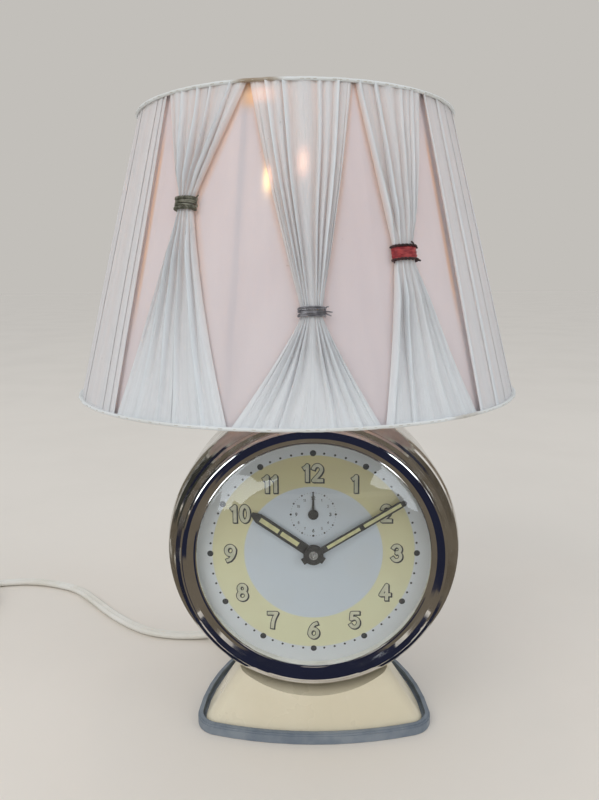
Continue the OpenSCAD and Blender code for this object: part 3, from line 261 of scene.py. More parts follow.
# Parts of a noise's range over which a colour drifts and a roughness varies
DRIFT, ROUGH_DRIFT = (0.42, 0.62), (0.35, 0.65)
# Waves of the roughness for each wave of the colour
ROUGH_FINER = 2.7


def surface(name, base, second, rough, scale, metallic=0.0, bump=0.00001, bump_scale=900, stretch=(1, 1, 1),
            **sockets):
    """Colour that drifts between base and second, roughness that varies, and a fine bump."""
    material, tree = blank(name)
    colour = mix(tree, spread(tree, noise_of(tree, scale, 5, stretch), *DRIFT), base, second)
    gloss = spread(tree, noise_of(tree, scale * ROUGH_FINER, 3, stretch), *ROUGH_DRIFT, *rough)
    inputs = {"Metallic": metallic, "Base Color": colour, "Roughness": gloss, **sockets}
    if bump:
        inputs["Normal"] = bump_of(tree, noise_of(tree, bump_scale, 3, stretch), bump)
    return finished(material, add(tree, "BsdfPrincipled", inputs))


lead_plastic = surface("lead_plastic", (0.80, 0.79, 0.74), (0.74, 0.72, 0.65), (0.32, 0.48), 45,
                       bump=0.00002)

# Mains lead: the route's points are those of the CAD source
CORD_W, CORD_T = 6.0, 3.2
CORD_POINTS = [
    (-50, 47, 6.5), (-54.9, 51.7, 4.7), (-61, 54, 3), (-68, 54.7, 2), (-77, 55, 1.7), (-86, 56, 1.7),
    (-95, 58.5, 1.7), (-104, 63, 1.7), (-115.5, 71.5, 1.7), (-128, 83, 1.7), (-142, 98, 1.7),
    (-158, 113.5, 1.7), (-178, 123, 1.7), (-198, 126.5, 1.7), (-216, 124.2, 1.7), (-231, 122, 1.7),
    (-247, 119.7, 1.7),
]
COIL_C = Vector((-248, 81, 1.7))
# Radius of the first turn, azimuths of the coil's start and end in degrees, whole turns and layers
COIL_R, COIL_START, COIL_END, COIL_TURNS, COIL_LAYERS = 38.2, 98, 225, 7, 4
# Steps from turn to turn and from layer to layer, the share of a turn that a climb takes, and rings a turn
COIL_PITCH, COIL_RISE, COIL_CLIMB, COIL_STEPS = 6.6, 3.8, 0.5, 40
LAYER_TURNS = (COIL_TURNS + (COIL_END - COIL_START) / 360) / COIL_LAYERS
TAIL_L, PLUG_Z, TAIL_STEPS = 24, 6.8, 8
LEAD_STEPS = 6
# Degrees of each core that show outside the groove, and the steps round them
CORE_SHOWN, CORE_STEPS = 300, 8


def coil_point(t):
    """Point of the coil after t turns: it spirals in and out by layers, and climbs where it turns back."""
    u = t % (2 * LAYER_TURNS)
    r = COIL_R - min(u, 2 * LAYER_TURNS - u) * COIL_PITCH
    level = sum(min(1, max(0, (t - k * LAYER_TURNS) / COIL_CLIMB + 0.5)) for k in range(1, COIL_LAYERS))
    a = radians(COIL_START + 360 * t)
    return COIL_C + Vector((r * cos(a), r * sin(a), COIL_RISE * level))


coil_turns = COIL_LAYERS * LAYER_TURNS
coil_rings = round(coil_turns * COIL_STEPS)
coil_last = coil_point(coil_turns)
tail_dir = Vector((-sin(radians(COIL_END)), cos(radians(COIL_END)), 0))
tail = [coil_last + TAIL_L * u * tail_dir + Vector((0, 0, (PLUG_Z - coil_last.z) * (3 - 2 * u) * u * u))
        for u in (i / TAIL_STEPS for i in range(1, TAIL_STEPS + 1))]
lead_path = smooth_route([Vector(p) for p in CORD_POINTS], LEAD_STEPS)
lead_path += [coil_point(coil_turns * i / coil_rings) for i in range(coil_rings + 1)]
lead_path += tail + [tail[-1] + CORD_W * tail_dir]
core_r, core_x = CORD_T / 2, CORD_W / 2 - CORD_T / 2
twin = []
for side, outward in ((1, 0), (-1, 180)):
    for k in range(CORE_STEPS + 1):
        a = radians(outward + CORE_SHOWN * (k / CORE_STEPS - 0.5))
        twin.append((side * core_x + core_r * cos(a), core_r * sin(a)))
lead = Shape()
lead.level_tube(lead_path, twin)
lead = put(lead.make("mains_lead"), "lamp", "lead_plastic", lead_plastic, "cord", "cord_coil")

# Strap round the coil, a flat strip whose ends are twisted together on top
STRAP_AT, STRAP_CORNER, STRAP_SPARE = radians(200), 1.6, 0.5
# Section of the strip: along the lead, and proud of the loop
STRAP_SECTION = ((-2.6, 0), (-2.2, 0.35), (0, 0.5), (2.2, 0.35), (2.6, 0), (2.2, -0.15), (-2.2, -0.15))
TWIST_STEPS, TWIST_LEAN, TWIST_PITCH, TWIST_R, TWIST_WIRE = 14, 0.8, 0.55, 0.7, 0.55
strap_out = Vector((cos(STRAP_AT), sin(STRAP_AT), 0))
strap_along = Vector((-sin(STRAP_AT), cos(STRAP_AT), 0))
strap_mid = COIL_C + (COIL_R - LAYER_TURNS * COIL_PITCH / 2) * strap_out
strap_half = LAYER_TURNS * COIL_PITCH / 2 + CORD_W / 2 + STRAP_SPARE
strap_top = COIL_RISE * (COIL_LAYERS - 1) + CORD_T + 0.6
half_z = strap_top / 2
loop = []
for cx, cz, first in ((1, 1, 0), (-1, 1, 90), (-1, -1, 180), (1, -1, 270)):
    for k in range(5):
        a = radians(first + 22.5 * k)
        loop.append((cx * (strap_half - STRAP_CORNER) + STRAP_CORNER * cos(a),
                     half_z + cz * (half_z - STRAP_CORNER) + STRAP_CORNER * sin(a)))
strap = Shape()
strap_foot = Vector((strap_mid.x, strap_mid.y, 0.1))
rows = []
for across, lift in STRAP_SECTION:
    rows.append([strap_foot + (x * (1 + lift / strap_half)) * strap_out + across * strap_along
                 + Vector((0, 0, z + (lift if z > 2 else 0) * 0.8)) for x, z in loop])
strap.grid(rows + [rows[0]], closed=True)
knot = Vector((strap_mid.x, strap_mid.y, strap_top + 0.6))
for turn in (0, pi):
    path = []
    for i in range(TWIST_STEPS):
        a = turn + TWIST_LEAN * i
        path.append(knot + Vector((0, 0, 0.4 + 0.5 * sin(0.3 * i))) + TWIST_PITCH * i * strap_along
                    + TWIST_R * (cos(a) * strap_out + Vector((0, 0, sin(a)))))
    strap.tube(path, TWIST_WIRE, grow=lambda s: 1 - 0.3 * s)
strap = put(strap.make("coil_strap"), "lamp", "lead_plastic", lead_plastic, "coil_tie")

# Lead inside the foot and the case, up the stem to the lampholder
RELIEF_DIR, RELIEF_L, RELIEF_SPARE = Vector((-0.6948, 0.6710, -0.2588)), 29, 5
CASE_RUN_R, INNER_LEAD_R = 57, 2.3
relief_in = Vector(CORD_POINTS[0]) - RELIEF_L * RELIEF_DIR
inner = [relief_in, relief_in - RELIEF_SPARE * RELIEF_DIR]
inner += [Vector(p) for p in ((-20, 12, 14), (-16, 1, 15), (-16, -1, 20.5), (-16, -1, 28.5))]
inner += [Vector((CASE_RUN_R * cos(a), 6, CLOCK_Z + CASE_RUN_R * sin(a)))
          for a in map(radians, range(240, 119, -15))]
inner += [Vector(p) for p in ((-21, 5, 137.1), (-13, 2, 135.1), (-8, 0, 138.1), (AXIS_X, 0, 145.1))]
inner += [Vector((AXIS_X, 0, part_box("inner_lead")[1].z / MM))]
inner_lead = Shape()
inner_lead.tube(smooth_route(inner, 4), INNER_LEAD_R, 12)
put(inner_lead.make("inner_lead_run"), "lamp", "lead_plastic", lead_plastic, "inner_lead")


# Shade cloth, on a cone from its bottom to its top radius
CLOTH_Z, CLOTH_H, R_BOTTOM, R_TOP = 160, 116.5, 96.6, 67.1
SLOPE = atan((R_BOTTOM - R_TOP) / CLOTH_H)
# Azimuths are degrees from the front. A gather has its middle and half angle at the rims, its middle at the
# tie, the tie's share of the height, and the width and height of the tied bundle.
GATHERS = ((-28.2, 14.8, -29, 0.644, 7.8, 4.8), (2.8, 15.4, 4.2, 0.327, 9, 4.1),
           (31.8, 12.8, 28.1, 0.493, 9.5, 6))
# How far the middle of a tied bundle stands out
CREST = 2.0
# Azimuth, share of the height, size each way and strength of the spots of painted lamp glow, which the cloth
# itself emits
LINING_PAINTED_GLOW = ((-6.6, 0.71, 1.1, 0.034, 1.0), (-10.5, 0.955, 4.5, 0.022, 0.22))
COVER_PAINTED_GLOW = ((-6.0, 0.71, 0.9, 0.030, 1.0), (3.0, 0.755, 1.2, 0.036, 1.0), (-9.0, 0.955, 4.0, 0.020, 0.5))
# Section of a fold as (share of its width, height): rolled over the fold before it, and a soft wave
ROLLED = ((0, 0), (-0.05, 0.28), (-0.07, 0.6), (-0.02, 0.88), (0.07, 1), (0.24, 0.88), (0.46, 0.66),
          (0.7, 0.4), (0.88, 0.16))
WAVE = ((0, 0), (0.1, 0.2), (0.22, 0.52), (0.36, 0.86), (0.5, 1), (0.64, 0.88), (0.78, 0.56), (0.9, 0.22),
        (0.96, 0.06))
# Widths of each gather's folds, from left to right, as shares of their sum
FOLD_WIDTHS = ((2.2, 6.0, 2.4, 5.0, 2.2, 3.6, 2.4, 6.6, 2.0, 5.4),
               (2.4, 3.6, 2.2, 4.6, 2.4, 11.0, 2.6, 4.4, 2.2, 3.4, 2.2),
               (2.4, 4.6, 2.2, 7.5, 2.4, 3.4, 2.2, 5.0))
# Width under which a fold is a ridge, and the height and the rolled share of ridges and of wider panels
RIDGE_W, RIDGE, PANEL = 3, (1.2, 0.75), (0.62, 0.35)
# Lowest and highest folds of the gathers and of the plain strip, and the plain strip's folds
GATHER_FOLDS, PLAIN_FOLDS, PLAIN_COUNT = (0.7, 1.15), (0.35, 1.0), 62
# Rows up a gather, up the plain strip and up the lining
ROWS, PLAIN_ROWS, LINING_ROWS, LINING_COLUMNS = 52, 18, 48, 720
# Degrees between a gather's edge and the plain strip
STRIP_GAP = 0.8
# Scale of the cloth's creases across a gather, across the plain strip and up the shade
GATHER_FLOW, PLAIN_FLOW, UP_FLOW = 46, 455, 5


def shade_r(h):
    return R_BOTTOM + (R_TOP - R_BOTTOM) * h


def round_axis(a, r, z):
    """Point at azimuth a in radians, r from the shade's axis, z up."""
    return Vector((AXIS_X + r * sin(a), -r * cos(a), z))


def on_shade(a, h, out=0.0):
    """Point at azimuth a in degrees, share h of the height, out from the cone."""
    return round_axis(radians(a), shade_r(h) + out, CLOTH_Z + CLOTH_H * h)


def smoothstep(x):
    x = min(1, max(0, x))
    return x * x * (3 - 2 * x)


def hot_spot(a, h, spots):
    """Strength of the painted lamp glow that the cloth emits at azimuth a, share h of the height."""
    return max(strength * exp(-((a - at) / wide) ** 2 - ((h - up) / tall) ** 2)
               for at, up, wide, tall, strength in spots)


def fold_columns(rng, widths, low, high):
    """(share of the strip, height) for each column of a row of folds, which lean to the nearer edge."""
    total, start, columns = sum(widths), 0.0, []
    for width in widths:
        rise, rolled = RIDGE if width < RIDGE_W else PANEL
        height = rng.uniform(low, high) * rise
        shape = ROLLED if rng.random() < rolled else WAVE
        if start + width / 2 > total / 2:
            shape = tuple((1 - x, lift) for x, lift in reversed(shape))
        for x, lift in shape:
            share = (start + width * x) / total
            if not columns or abs(share - columns[-1][0]) > 1e-5:
                columns.append((share, lift * height))
        start += width
    return columns if columns[-1][0] > 0.9999 else columns + [(1.0, 0.0)]


rng = random.Random(11)
cover = Shape()
for (rim_a, rim_half, tie_a, tie_h, tie_w, tie_tall), widths in zip(GATHERS, FOLD_WIDTHS):
    columns = fold_columns(rng, widths, *GATHER_FOLDS)
    held = tie_tall / 2 / CLOTH_H
    shares = sorted({i / ROWS for i in range(ROWS + 1)} | {tie_h - held, tie_h, tie_h + held})
    drift = [rng.uniform(0, 6.3) for _ in range(3)]
    tie_half = degrees(asin(min(1, (tie_w / 2 - 0.6) / shade_r(tie_h))))
    rows = []
    for h in shares:
        # pinch runs from 0 at the tie to 1 at the rims, and near from 1 to 0
        pinch = max(0.0, abs(h - tie_h) - held) / ((tie_h if h < tie_h else 1 - tie_h) - held)
        half = tie_half + (rim_half - tie_half) * pinch ** 1.06
        middle = tie_a + (rim_a - tie_a) * pinch
        near = 1 - smoothstep(pinch * 2.4)
        tall = (0.7 + 2.0 * smoothstep(pinch * 4)) * (1 - 0.6 * smoothstep((pinch - 0.35) / 0.65))
        row = []
        for share, lift in columns:
            u = 2 * share - 1
            edge_fall = smoothstep((1 - abs(u)) * 11)
            out = near * (0.3 + CREST * sqrt(max(0, 1 - u * u))) + (1 - near) * 0.35 + tall * lift
            belly = 0.28 * sin(5.2 * u + 3.1 * h + drift[0])
            out += belly * sin(pi * min(1, pinch)) * (1 - near)
            wander = 0.022 * sin(6.4 * h + 4 * share + drift[1])
            wander *= sin(pi * pinch) * (1 - u * u)
            # Painted light: the tint warms the cloth in its valleys and at the gather's edges, more towards
            # the top, as lamp glow and lining showing through single cloth
            painted_show_through = 0.55 * (1 - min(1, lift)) + 0.45 * (1 - edge_fall)
            row.append((on_shade(middle + (u + wander * 2) * half, h, -1.0 + out * (0.2 + 0.8 * edge_fall)),
                        min(1.0, max(0.0, painted_show_through * (0.15 + 0.85 * smoothstep(h * 1.25)))),
                        hot_spot(middle + u * half, h, COVER_PAINTED_GLOW), (share * GATHER_FLOW, h * UP_FLOW, 0)))
        rows.append(row)
    cover.cloth(rows)

# The plain strip goes round the back in straight pleats
plain_first = GATHERS[2][0] + GATHERS[2][1] + STRIP_GAP
plain_last = 360 + GATHERS[0][0] - GATHERS[0][1] - STRIP_GAP
columns = fold_columns(rng, [rng.uniform(0.5, 1.9) * 4 for _ in range(PLAIN_COUNT)], *PLAIN_FOLDS)
rows = []
for i in range(PLAIN_ROWS + 1):
    h = i / PLAIN_ROWS
    sag = sin(pi * h)
    row = []
    for share, lift in columns:
        end = smoothstep(min(share, 1 - share) * 160)
        out = -0.8 + (0.7 + 0.4 * sag) * lift + 0.22 * sin(share * 91 + 2.2 * h) * sag
        out += (1 - end) * 0.5
        # The tint is painted lamp glow, warmer in the pleats' valleys and towards the top
        row.append((on_shade(plain_first + (plain_last - plain_first) * share, h, out),
                    0.30 * (1 - min(1, lift)) + 0.12 * h, 0.0, (share * PLAIN_FLOW, h * UP_FLOW, 0)))
    rows.append(row)
cover.cloth(rows)


def cloth(name, base, warm, stain, through, thread, glow, flowing=False, spot=None):
    """Thin cloth: base turns to warm where the tint attribute is high, with stains and a fine weave.

    through is the share of light, coloured glow, that passes, and thread the height of the weave in metres.
    flowing adds creases along the flow attribute. spot is the colour of a painted lamp glow, which the cloth
    emits as strongly as its glow attribute says."""
    material, tree = blank(name)
    tint = add(tree, "Attribute", attribute_name="tint").outputs["Fac"]
    blotch = spread(tree, noise_of(tree, 22, 4), 0.55, 0.72)
    if flowing:
        flow = add(tree, "Attribute", attribute_name="flow").outputs["Vector"]
        lines = noise_at(tree, flow, 0.55, 5, 0.6)
        fine = noise_at(tree, flow, 2.2, 3, 0.6)
    else:
        lines = noise_of(tree, 38, 3, (1, 1, 0.12))
        fine = noise_of(tree, 150, 3, (1, 1, 0.2))
    colour = mix(tree, tint, base, warm)
    colour = mix(tree, spread(tree, lines, 0.42, 0.68, 0.0, 0.6), colour, stain)
    speck = spread(tree, noise_of(tree, 420, 2), 0.735, 0.76)
    colour = mix(tree, blotch, colour, mix(tree, speck, colour, (0.30, 0.22, 0.15)))
    weave = maths(tree, "ADD", *(noise_of(tree, 2600, 2, way) for way in ((1, 1, 0.15), (0.15, 0.15, 1))))
    creases = maths(tree, "MULTIPLY_ADD", lines, 1.2 if flowing else 3.0, fine)
    bump = bump_of(tree, maths(tree, "MULTIPLY_ADD", creases, 5.0, weave), thread)
    shader = add(tree, "BsdfPrincipled", {"Base Color": colour, "Roughness": 0.82, "Normal": bump,
                                          "Sheen Weight": 0.2, "Sheen Roughness": 0.45})
    # Painted lamp glow: the cloth emits the spot colour where its glow attribute is high
    if spot:
        hot = add(tree, "Attribute", attribute_name="hot").outputs["Fac"]
        shader.inputs["Emission Color"].default_value = (*spot, 1)
        tree.links.new(hot, shader.inputs["Emission Strength"])
    lit = add(tree, "BsdfTranslucent", {"Color": mix(tree, tint, glow, warm), "Normal": bump})
    both = add(tree, "MixShader", {0: through, 1: shader.outputs[0], 2: lit.outputs[0]})
    return finished(material, both)


# The cover's warm colour is painted light, lamp glow and lining showing through thin cloth, and its spot
# colour is painted lamp glow
cover_cloth = cloth("cover_cloth", (0.86, 0.92, 0.96), (0.80, 0.62, 0.54), (0.74, 0.77, 0.80), 0.22, 0.00006,
                    (0.88, 0.88, 0.90), flowing=True, spot=(0.75, 0.32, 0.18))
# The lining's warm colour is painted lamp glow in shaded bands and also the worn patch's colour, and its spot
# colour is painted lamp glow
lining_cloth = cloth("lining_cloth", (0.78, 0.735, 0.765), (0.86, 0.54, 0.34), (0.64, 0.59, 0.63), 0.30,
                     0.00003, (0.80, 0.72, 0.74), spot=(1.7, 1.15, 0.42))

cover = put(cover.make("shade_pleats"), "lamp", "cover_cloth", cover_cloth, "shade_cover")

# Smooth lining, with soft creases: azimuths at the bottom and at the top, depth and half width in degrees
LINING_CREASES = ((-13.2, -13.8, 0.16, 0.4), (-10, -12.5, -0.2, 1.4), (-3, -8, 0.2, 1.2),
                  (17.5, 13, 0.3, 1.0), (22, 19, 0.2, 0.8), (-41, -39, 0.3, 0.8))
# Azimuth of the worn patch on lining and upper rim
WORN_A = -10.5


def lining_out(a, h):
    """How far the lining stands out from the cone."""
    out = -1.85 + 0.12 * sin(radians(a * 6)) + 0.08 * sin(radians(a * 17 + 140 * h))
    for bottom, top, depth, wide in LINING_CREASES:
        off = (a - bottom - (top - bottom) * h) / wide
        out += depth * 0.6 * exp(-off * off)
    return out


def lining_tint(a, h):
    """Warmth of the lining: painted lamp glow in shaded narrow bands beside the plain strip and the gathers,
    and the worn patch.
    """
    warm = 0.0
    # Painted lamp glow in shaded bands beside the plain strip's edges and the gathers' edges
    for edge, side in ((plain_last - 360, 1), (plain_first, -1)):
        off = (a - edge) * side
        warm = max(warm, 0.8 * smoothstep((off + 0.4) / 0.5) * smoothstep((1.7 - off) / 0.7)
                   * smoothstep((h - 0.2) / 0.3) * smoothstep((0.92 - h) / 0.12))
    for rim_a, rim_half, tie_a, tie_h, _, _ in GATHERS:
        pinch = abs(h - tie_h) / (tie_h if h < tie_h else 1 - tie_h)
        half = 2.6 + (rim_half - 2.6) * pinch
        off = abs(a - (tie_a + (rim_a - tie_a) * pinch)) - half
        warm = max(warm, 0.5 * smoothstep((1.3 - off) / 1.4) * smoothstep(h * 1.3 - 0.2))
    worn = smoothstep(1.4 - abs(a - WORN_A) / 5.5) * smoothstep((h - 0.905) / 0.04)
    return max(warm, worn)


lining = Shape()
rows = []
for i in range(LINING_ROWS + 1):
    h = i / LINING_ROWS
    row = []
    for k in range(LINING_COLUMNS):
        a = -180 + 360 * k / LINING_COLUMNS
        row.append((on_shade(a, h, lining_out(a, h)), lining_tint(a, h), hot_spot(a, h, LINING_PAINTED_GLOW)))
    rows.append(row)
lining.cloth(rows, closed=True)
lining = put(lining.make("shade_lining_cloth"), "lamp", "lining_cloth", lining_cloth, "shade_lining")

# Narrow rolled binding round both rims, with its stitches and a worn patch at the top
trim_cloth = cloth("trim_cloth", (0.78, 0.82, 0.83), (0.26, 0.16, 0.07), (0.66, 0.67, 0.64), 0.05, 0.00005,
                   (0.9, 0.8, 0.7))
RIM_LOW, RIM_HIGH = 159.5, 277.0
# Section of the binding: out from the cloth's cone, and up from the rim
BINDING = ((0.3, 0.45), (0.75, 0.15), (0.8, -0.25), (0.55, -0.65), (0.1, -0.85), (-1.2, -0.95), (-3.0, -1.0),
           (-5.2, -0.9), (-6.0, -0.3), (-6.2, 0.8), (-6.2, 2.2), (-5.95, 2.2), (-5.85, 0.9), (-5.2, -0.1),
           (-3.0, -0.3), (-1.3, -0.2), (-0.7, 0.3))
BINDING_STEPS, STITCHES = 320, 150
# Each rim's height, way into the shade, radius, and the azimuth, size and strength of its worn patch
RIMS = ((RIM_LOW, 1, R_BOTTOM, 40, 4, 0.4), (RIM_HIGH, -1, R_TOP, WORN_A, 6, 1))
binding = Shape()
stitches = Shape()
for rim, inward, radius, worn_a, worn_w, worn in RIMS:
    rows, tints = [], []
    for out, up in BINDING:
        row, tint = [], []
        for k in range(BINDING_STEPS):
            pucker = 0.10 * sin(k * 2.1) + 0.12 * sin(k * 0.83 + 1)
            a = 2 * pi * k / BINDING_STEPS
            r = radius + out + pucker * (1 if out > 0 else 0.3)
            z = rim + inward * max(0.02, 1.0 + up + 0.6 * pucker * (out > 0))
            row.append(round_axis(a, r, z))
            off = abs((degrees(a) - worn_a + 180) % 360 - 180) / worn_w
            tint.append(min(1.0, 0.05 + 0.1 * abs(pucker) + smoothstep(1.5 - off) * worn))
        rows.append(row)
        tints.append(tint)
    binding.grid(rows + [rows[0]], closed=True, tints=tints + [tints[0]])
    for k in range(STITCHES):
        a = 2 * pi * k / STITCHES + 0.008 * sin(k * 1.7)
        stitches.tube([round_axis(a + s / radius, radius + 0.78 - 0.14 * abs(s), rim + inward * 0.95)
                       for s in (-0.7, -0.35, 0, 0.35, 0.7)], 0.10, 5)
binding = put(binding.make("shade_binding"), "lamp", "trim_cloth", trim_cloth, "shade_trims")
thread = surface("stitch_thread", (0.50, 0.47, 0.40), (0.62, 0.58, 0.50), (0.7, 0.85), 120)
stitches = put(stitches.make("binding_stitches"), "lamp", "trim_cloth", thread)


# Ties round the gathers
class Tie:
    """Places points round one gather: along the slope, round the bundle and out from it."""

    def __init__(self, gather):
        _, _, azimuth, h, width, _ = gather
        self.half, self.crest = width / 2, CREST + 0.55
        a = radians(azimuth)
        self.across = Vector((cos(a), sin(a), 0))
        self.out = Vector((sin(a) * cos(SLOPE), -cos(a) * cos(SLOPE), sin(SLOPE)))
        self.up = Vector((-sin(a) * sin(SLOPE), cos(a) * sin(SLOPE), cos(SLOPE)))
        self.middle = on_shade(azimuth, h, -0.25)

    def at(self, turn, up, lift=0.0):
        """turn runs from 0 at the right edge to 1 at the left edge, and a little past each."""
        a = pi * min(1, max(0, turn))
        x = (self.half + lift) * cos(a)
        y = (self.crest + lift) * sin(a) ** 0.8
        past = max(0, -turn, turn - 1)
        return self.middle + x * self.across + (y - past * 6) * self.out + up * self.up


def strand(shape, tie, up, radius, lift=0.0, swing=0.0, phase=0.0):
    """Single strand round the tie, which swings up and down a little."""
    path = [tie.at(-0.12 + 1.24 * i / 40, up + swing * sin(phase + 4.4 * i / 40), lift)
            for i in range(41)]
    shape.tube(path, radius, 7)


def twisted(shape, tie, up, radius, turns, phase, lift=0.0):
    """Two strands twisted into a cord along the tie."""
    core = 0.55 * radius
    for strand_phase in (0, pi):
        path = []
        for i in range(91):
            t = i / 90
            a = strand_phase + phase + 2 * pi * turns * t
            path.append(tie.at(-0.1 + 1.2 * t, up + core * sin(a), lift + core * cos(a)))
        shape.tube(path, radius * 0.6, 6)


def loose_end(shape, tie, turn, up, bend, tip, radius, steps=5):
    """End that leaves its tie and goes by bend to tip, which are (across, out, up) from where it leaves."""
    edge = tie.at(turn, up)
    path = [edge] + [edge + x * tie.across + y * tie.out + z * tie.up for x, y, z in (bend, tip)]
    shape.tube(smooth_route(path, steps), radius, 6)


tie_braid = surface("tie_braid", (0.115, 0.115, 0.085), (0.29, 0.29, 0.23), (0.35, 0.6), 700, 0.45,
                    0.00003, 2600)
tie_wire = surface("tie_wire", (0.20, 0.20, 0.22), (0.42, 0.42, 0.45), (0.3, 0.5), 500, 0.7, bump=0.00002)
tie_red = surface("tie_red", (0.22, 0.010, 0.018), (0.42, 0.05, 0.05), (0.28, 0.5), 450, bump=0.00004,
                  bump_scale=1500, stretch=(1, 1, 3))
tie_dark = surface("tie_dark_edge", (0.030, 0.018, 0.020), (0.08, 0.03, 0.03), (0.4, 0.6), 700,
                   bump=0.00002)

left = Tie(GATHERS[0])
shape = Shape()
for up in (-1.75, 1.75):
    twisted(shape, left, up, 0.62, 7, up)
for up in (-0.75, 0.0, 0.75):
    strand(shape, left, up, 0.42, 0.05, 0.18, phase=up * 3)
loose_end(shape, left, 0, 1.6, (0.9, 0.6, 0.5), (1.4, 0.4, 1.3), 0.26)
loose_end(shape, left, 0, -1.2, (0.9, 0.5, -0.1), (1.6, 0.3, 0.3), 0.24)
tie_left = put(shape.make("tie_left_braid"), "lamp", "tie_braid", tie_braid, "tie_left")

middle = Tie(GATHERS[1])
shape = Shape()
for up, swing, radius, phase in ((1.35, 0.10, 0.34, 0), (0.75, 0.22, 0.30, 1), (0.2, 0.42, 0.30, 2.2),
                                 (-0.55, 0.34, 0.32, 0.6), (-1.25, 0.16, 0.36, 2.8), (-0.2, -0.6, 0.28, 0)):
    strand(shape, middle, up, radius, 0.0, swing, phase=phase)
for start, x, z in ((0.3, 2.3, -0.4), (-0.3, 1.9, -1.0), (1.3, 1.0, 0.5)):
    loose_end(shape, middle, 0.02, start, (0.4 * x, 0.9, 0.6 * z), (x, 0.6, z), 0.24, 6)
tie_middle = put(shape.make("tie_middle_wire"), "lamp", "tie_wire", tie_wire, "tie_middle")

right = Tie(GATHERS[2])
shape = Shape()
# The ribbon has a pleat in each of its rows, and its two edges lie lower
RIBBON_H, RIBBON_ROWS, RIBBON_STEPS = 4.7, 12, 32
rows = []
for k in range(RIBBON_ROWS + 1):
    up = RIBBON_H * k / RIBBON_ROWS - RIBBON_H / 2
    pleat = 0.18 * sin(k * 2.1)
    edge_drop = 0.3 if k in (0, RIBBON_ROWS) else 0
    rows.append([right.at(-0.1 + 1.2 * i / RIBBON_STEPS, up * (1 - 0.05 * sin(i * 0.7)),
                          0.12 + pleat * (0.6 + 0.4 * sin(i * 0.4)) - edge_drop)
                 for i in range(RIBBON_STEPS + 1)])
shape.grid(rows)
tie_right = put(shape.make("tie_right_ribbon"), "lamp", "tie_red", tie_red, "tie_right")
shape = Shape()
twisted(shape, right, 2.35, 0.5, 6, 0.4, 0.1)
twisted(shape, right, -2.35, 0.5, 6, 1.4, 0.1)
for turn, start, x, z in ((0.0, -2.3, 1.5, -0.2), (0.3, 2.5, -1.2, 1.1), (1.0, -2.2, -0.3, -1.3),
                          (0.0, 2.3, 0.8, -0.3)):
    loose_end(shape, right, turn, start, (0.5 * x, 0.7, 0.5 * z), (x, 0.5, z), 0.32)
tie_cord = put(shape.make("tie_right_edge_cords"), "lamp", "tie_red", tie_dark)

# Printing on the dial
DIAL = Vector((0, -28, CLOCK_Z))
ALARM_UP = 18.1
# Radii of the minute dots, the hour numbers, the alarm dots and the alarm numbers
DOTS_R, NUMBERS_R, ALARM_DOTS_R, ALARM_NUMBERS_R = 45.9, 37.0, 9.9, 7.5
# Radii of the large and small minute dots and of the large, middling and small alarm dots
MINUTE_DOTS, ALARM_DOTS = (1.38, 0.5), (0.5, 0.42, 0.17)
# Scale of the main and the other alarm numbers
ALARM_NUMBERS = (0.20, 0.155)
# How far the layers of print stand off the dial
SHADOW_LIFT, PRINT_LIFT, FILL_LIFT, DOT_LIFT = 0.03, 0.05, 0.07, 0.045
# Half widths of the numbers' strokes, and the place of their shadow
OUTLINE_HALF, FILL_HALF, SMALL_HALF, SHADOW_SHIFT = 1.08, 0.72, 0.75, (0.34, -0.30)
# A dot's edge as (share of its radius, how far back it lies)
DOT_EDGE = ((1.0, 0.03), (0.9, 0.002))


def on_dial(a, r, lift, up=0.0):
    """Point at clock angle a in degrees, r from the dial's middle."""
    a = radians(a)
    return DIAL + Vector((r * sin(a), -lift, up + r * cos(a)))


def dot(shape, a, r, size, up=0.0, sides=20):
    middle = on_dial(a, r, DOT_LIFT, up)
    rings = [[middle + Vector((s * size * cos(t), back, s * size * sin(t)))
              for t in (2 * pi * k / sides for k in range(sides))] for s, back in DOT_EDGE]
    base = shape.grid(rings, closed=True)
    shape.cap(base + sides, sides)


def arc(x, y, rx, ry, first, last, steps=12):
    return [(x + rx * cos(radians(first + (last - first) * k / steps)),
             y + ry * sin(radians(first + (last - first) * k / steps))) for k in range(steps + 1)]


# Middle lines of the digits' strokes for a number 9.1 mm tall, with the width that each digit takes
SIX = [arc(0, -1.4, 1.8, 2.05, 0, 360, 20),
       [(1.25, 3.3), (0.2, 2.9), (-0.9, 1.6), (-1.6, 0.0), (-1.8, -1.4)]]
DIGITS = {"0": (5.4, [arc(0, 0, 1.65, 3.45, 0, 360, 24)]),
          "1": (3.7, [[(-1.0, 2.25), (-0.3, 2.7), (0.25, 3.4), (0.25, -3.45)]]),
          "2": (5.6, [arc(0, 1.6, 1.75, 1.85, 165, -25) + [(0.9, -0.4), (-1.75, -3.4), (1.9, -3.4)]]),
          "3": (5.4, [arc(-0.1, 1.75, 1.6, 1.7, 155, -85), arc(-0.1, -1.6, 1.85, 1.85, 88, -155)]),
          "4": (5.6, [[(0.75, -3.45), (0.75, 3.3), (-1.9, -1.3), (2.1, -1.3)]]),
          "5": (5.4, [[(1.6, 3.4), (-1.2, 3.4), (-1.45, 0.45)] + arc(-0.1, -1.25, 1.85, 2.2, 118, -150)]),
          "6": (5.4, SIX),
          "7": (5.3, [[(-1.75, 3.4), (1.8, 3.4), (0.7, 1.2), (0.05, -1.0), (-0.25, -3.45)]]),
          "8": (5.4, [arc(0, 1.8, 1.5, 1.65, 0, 360, 20), arc(0, -1.6, 1.8, 1.85, 0, 360, 20)]),
          "9": (5.4, [[(-x, -y) for x, y in stroke] for stroke in SIX])}
# How much less than half its width a stroke runs on at each end
END_SHORT = 0.15


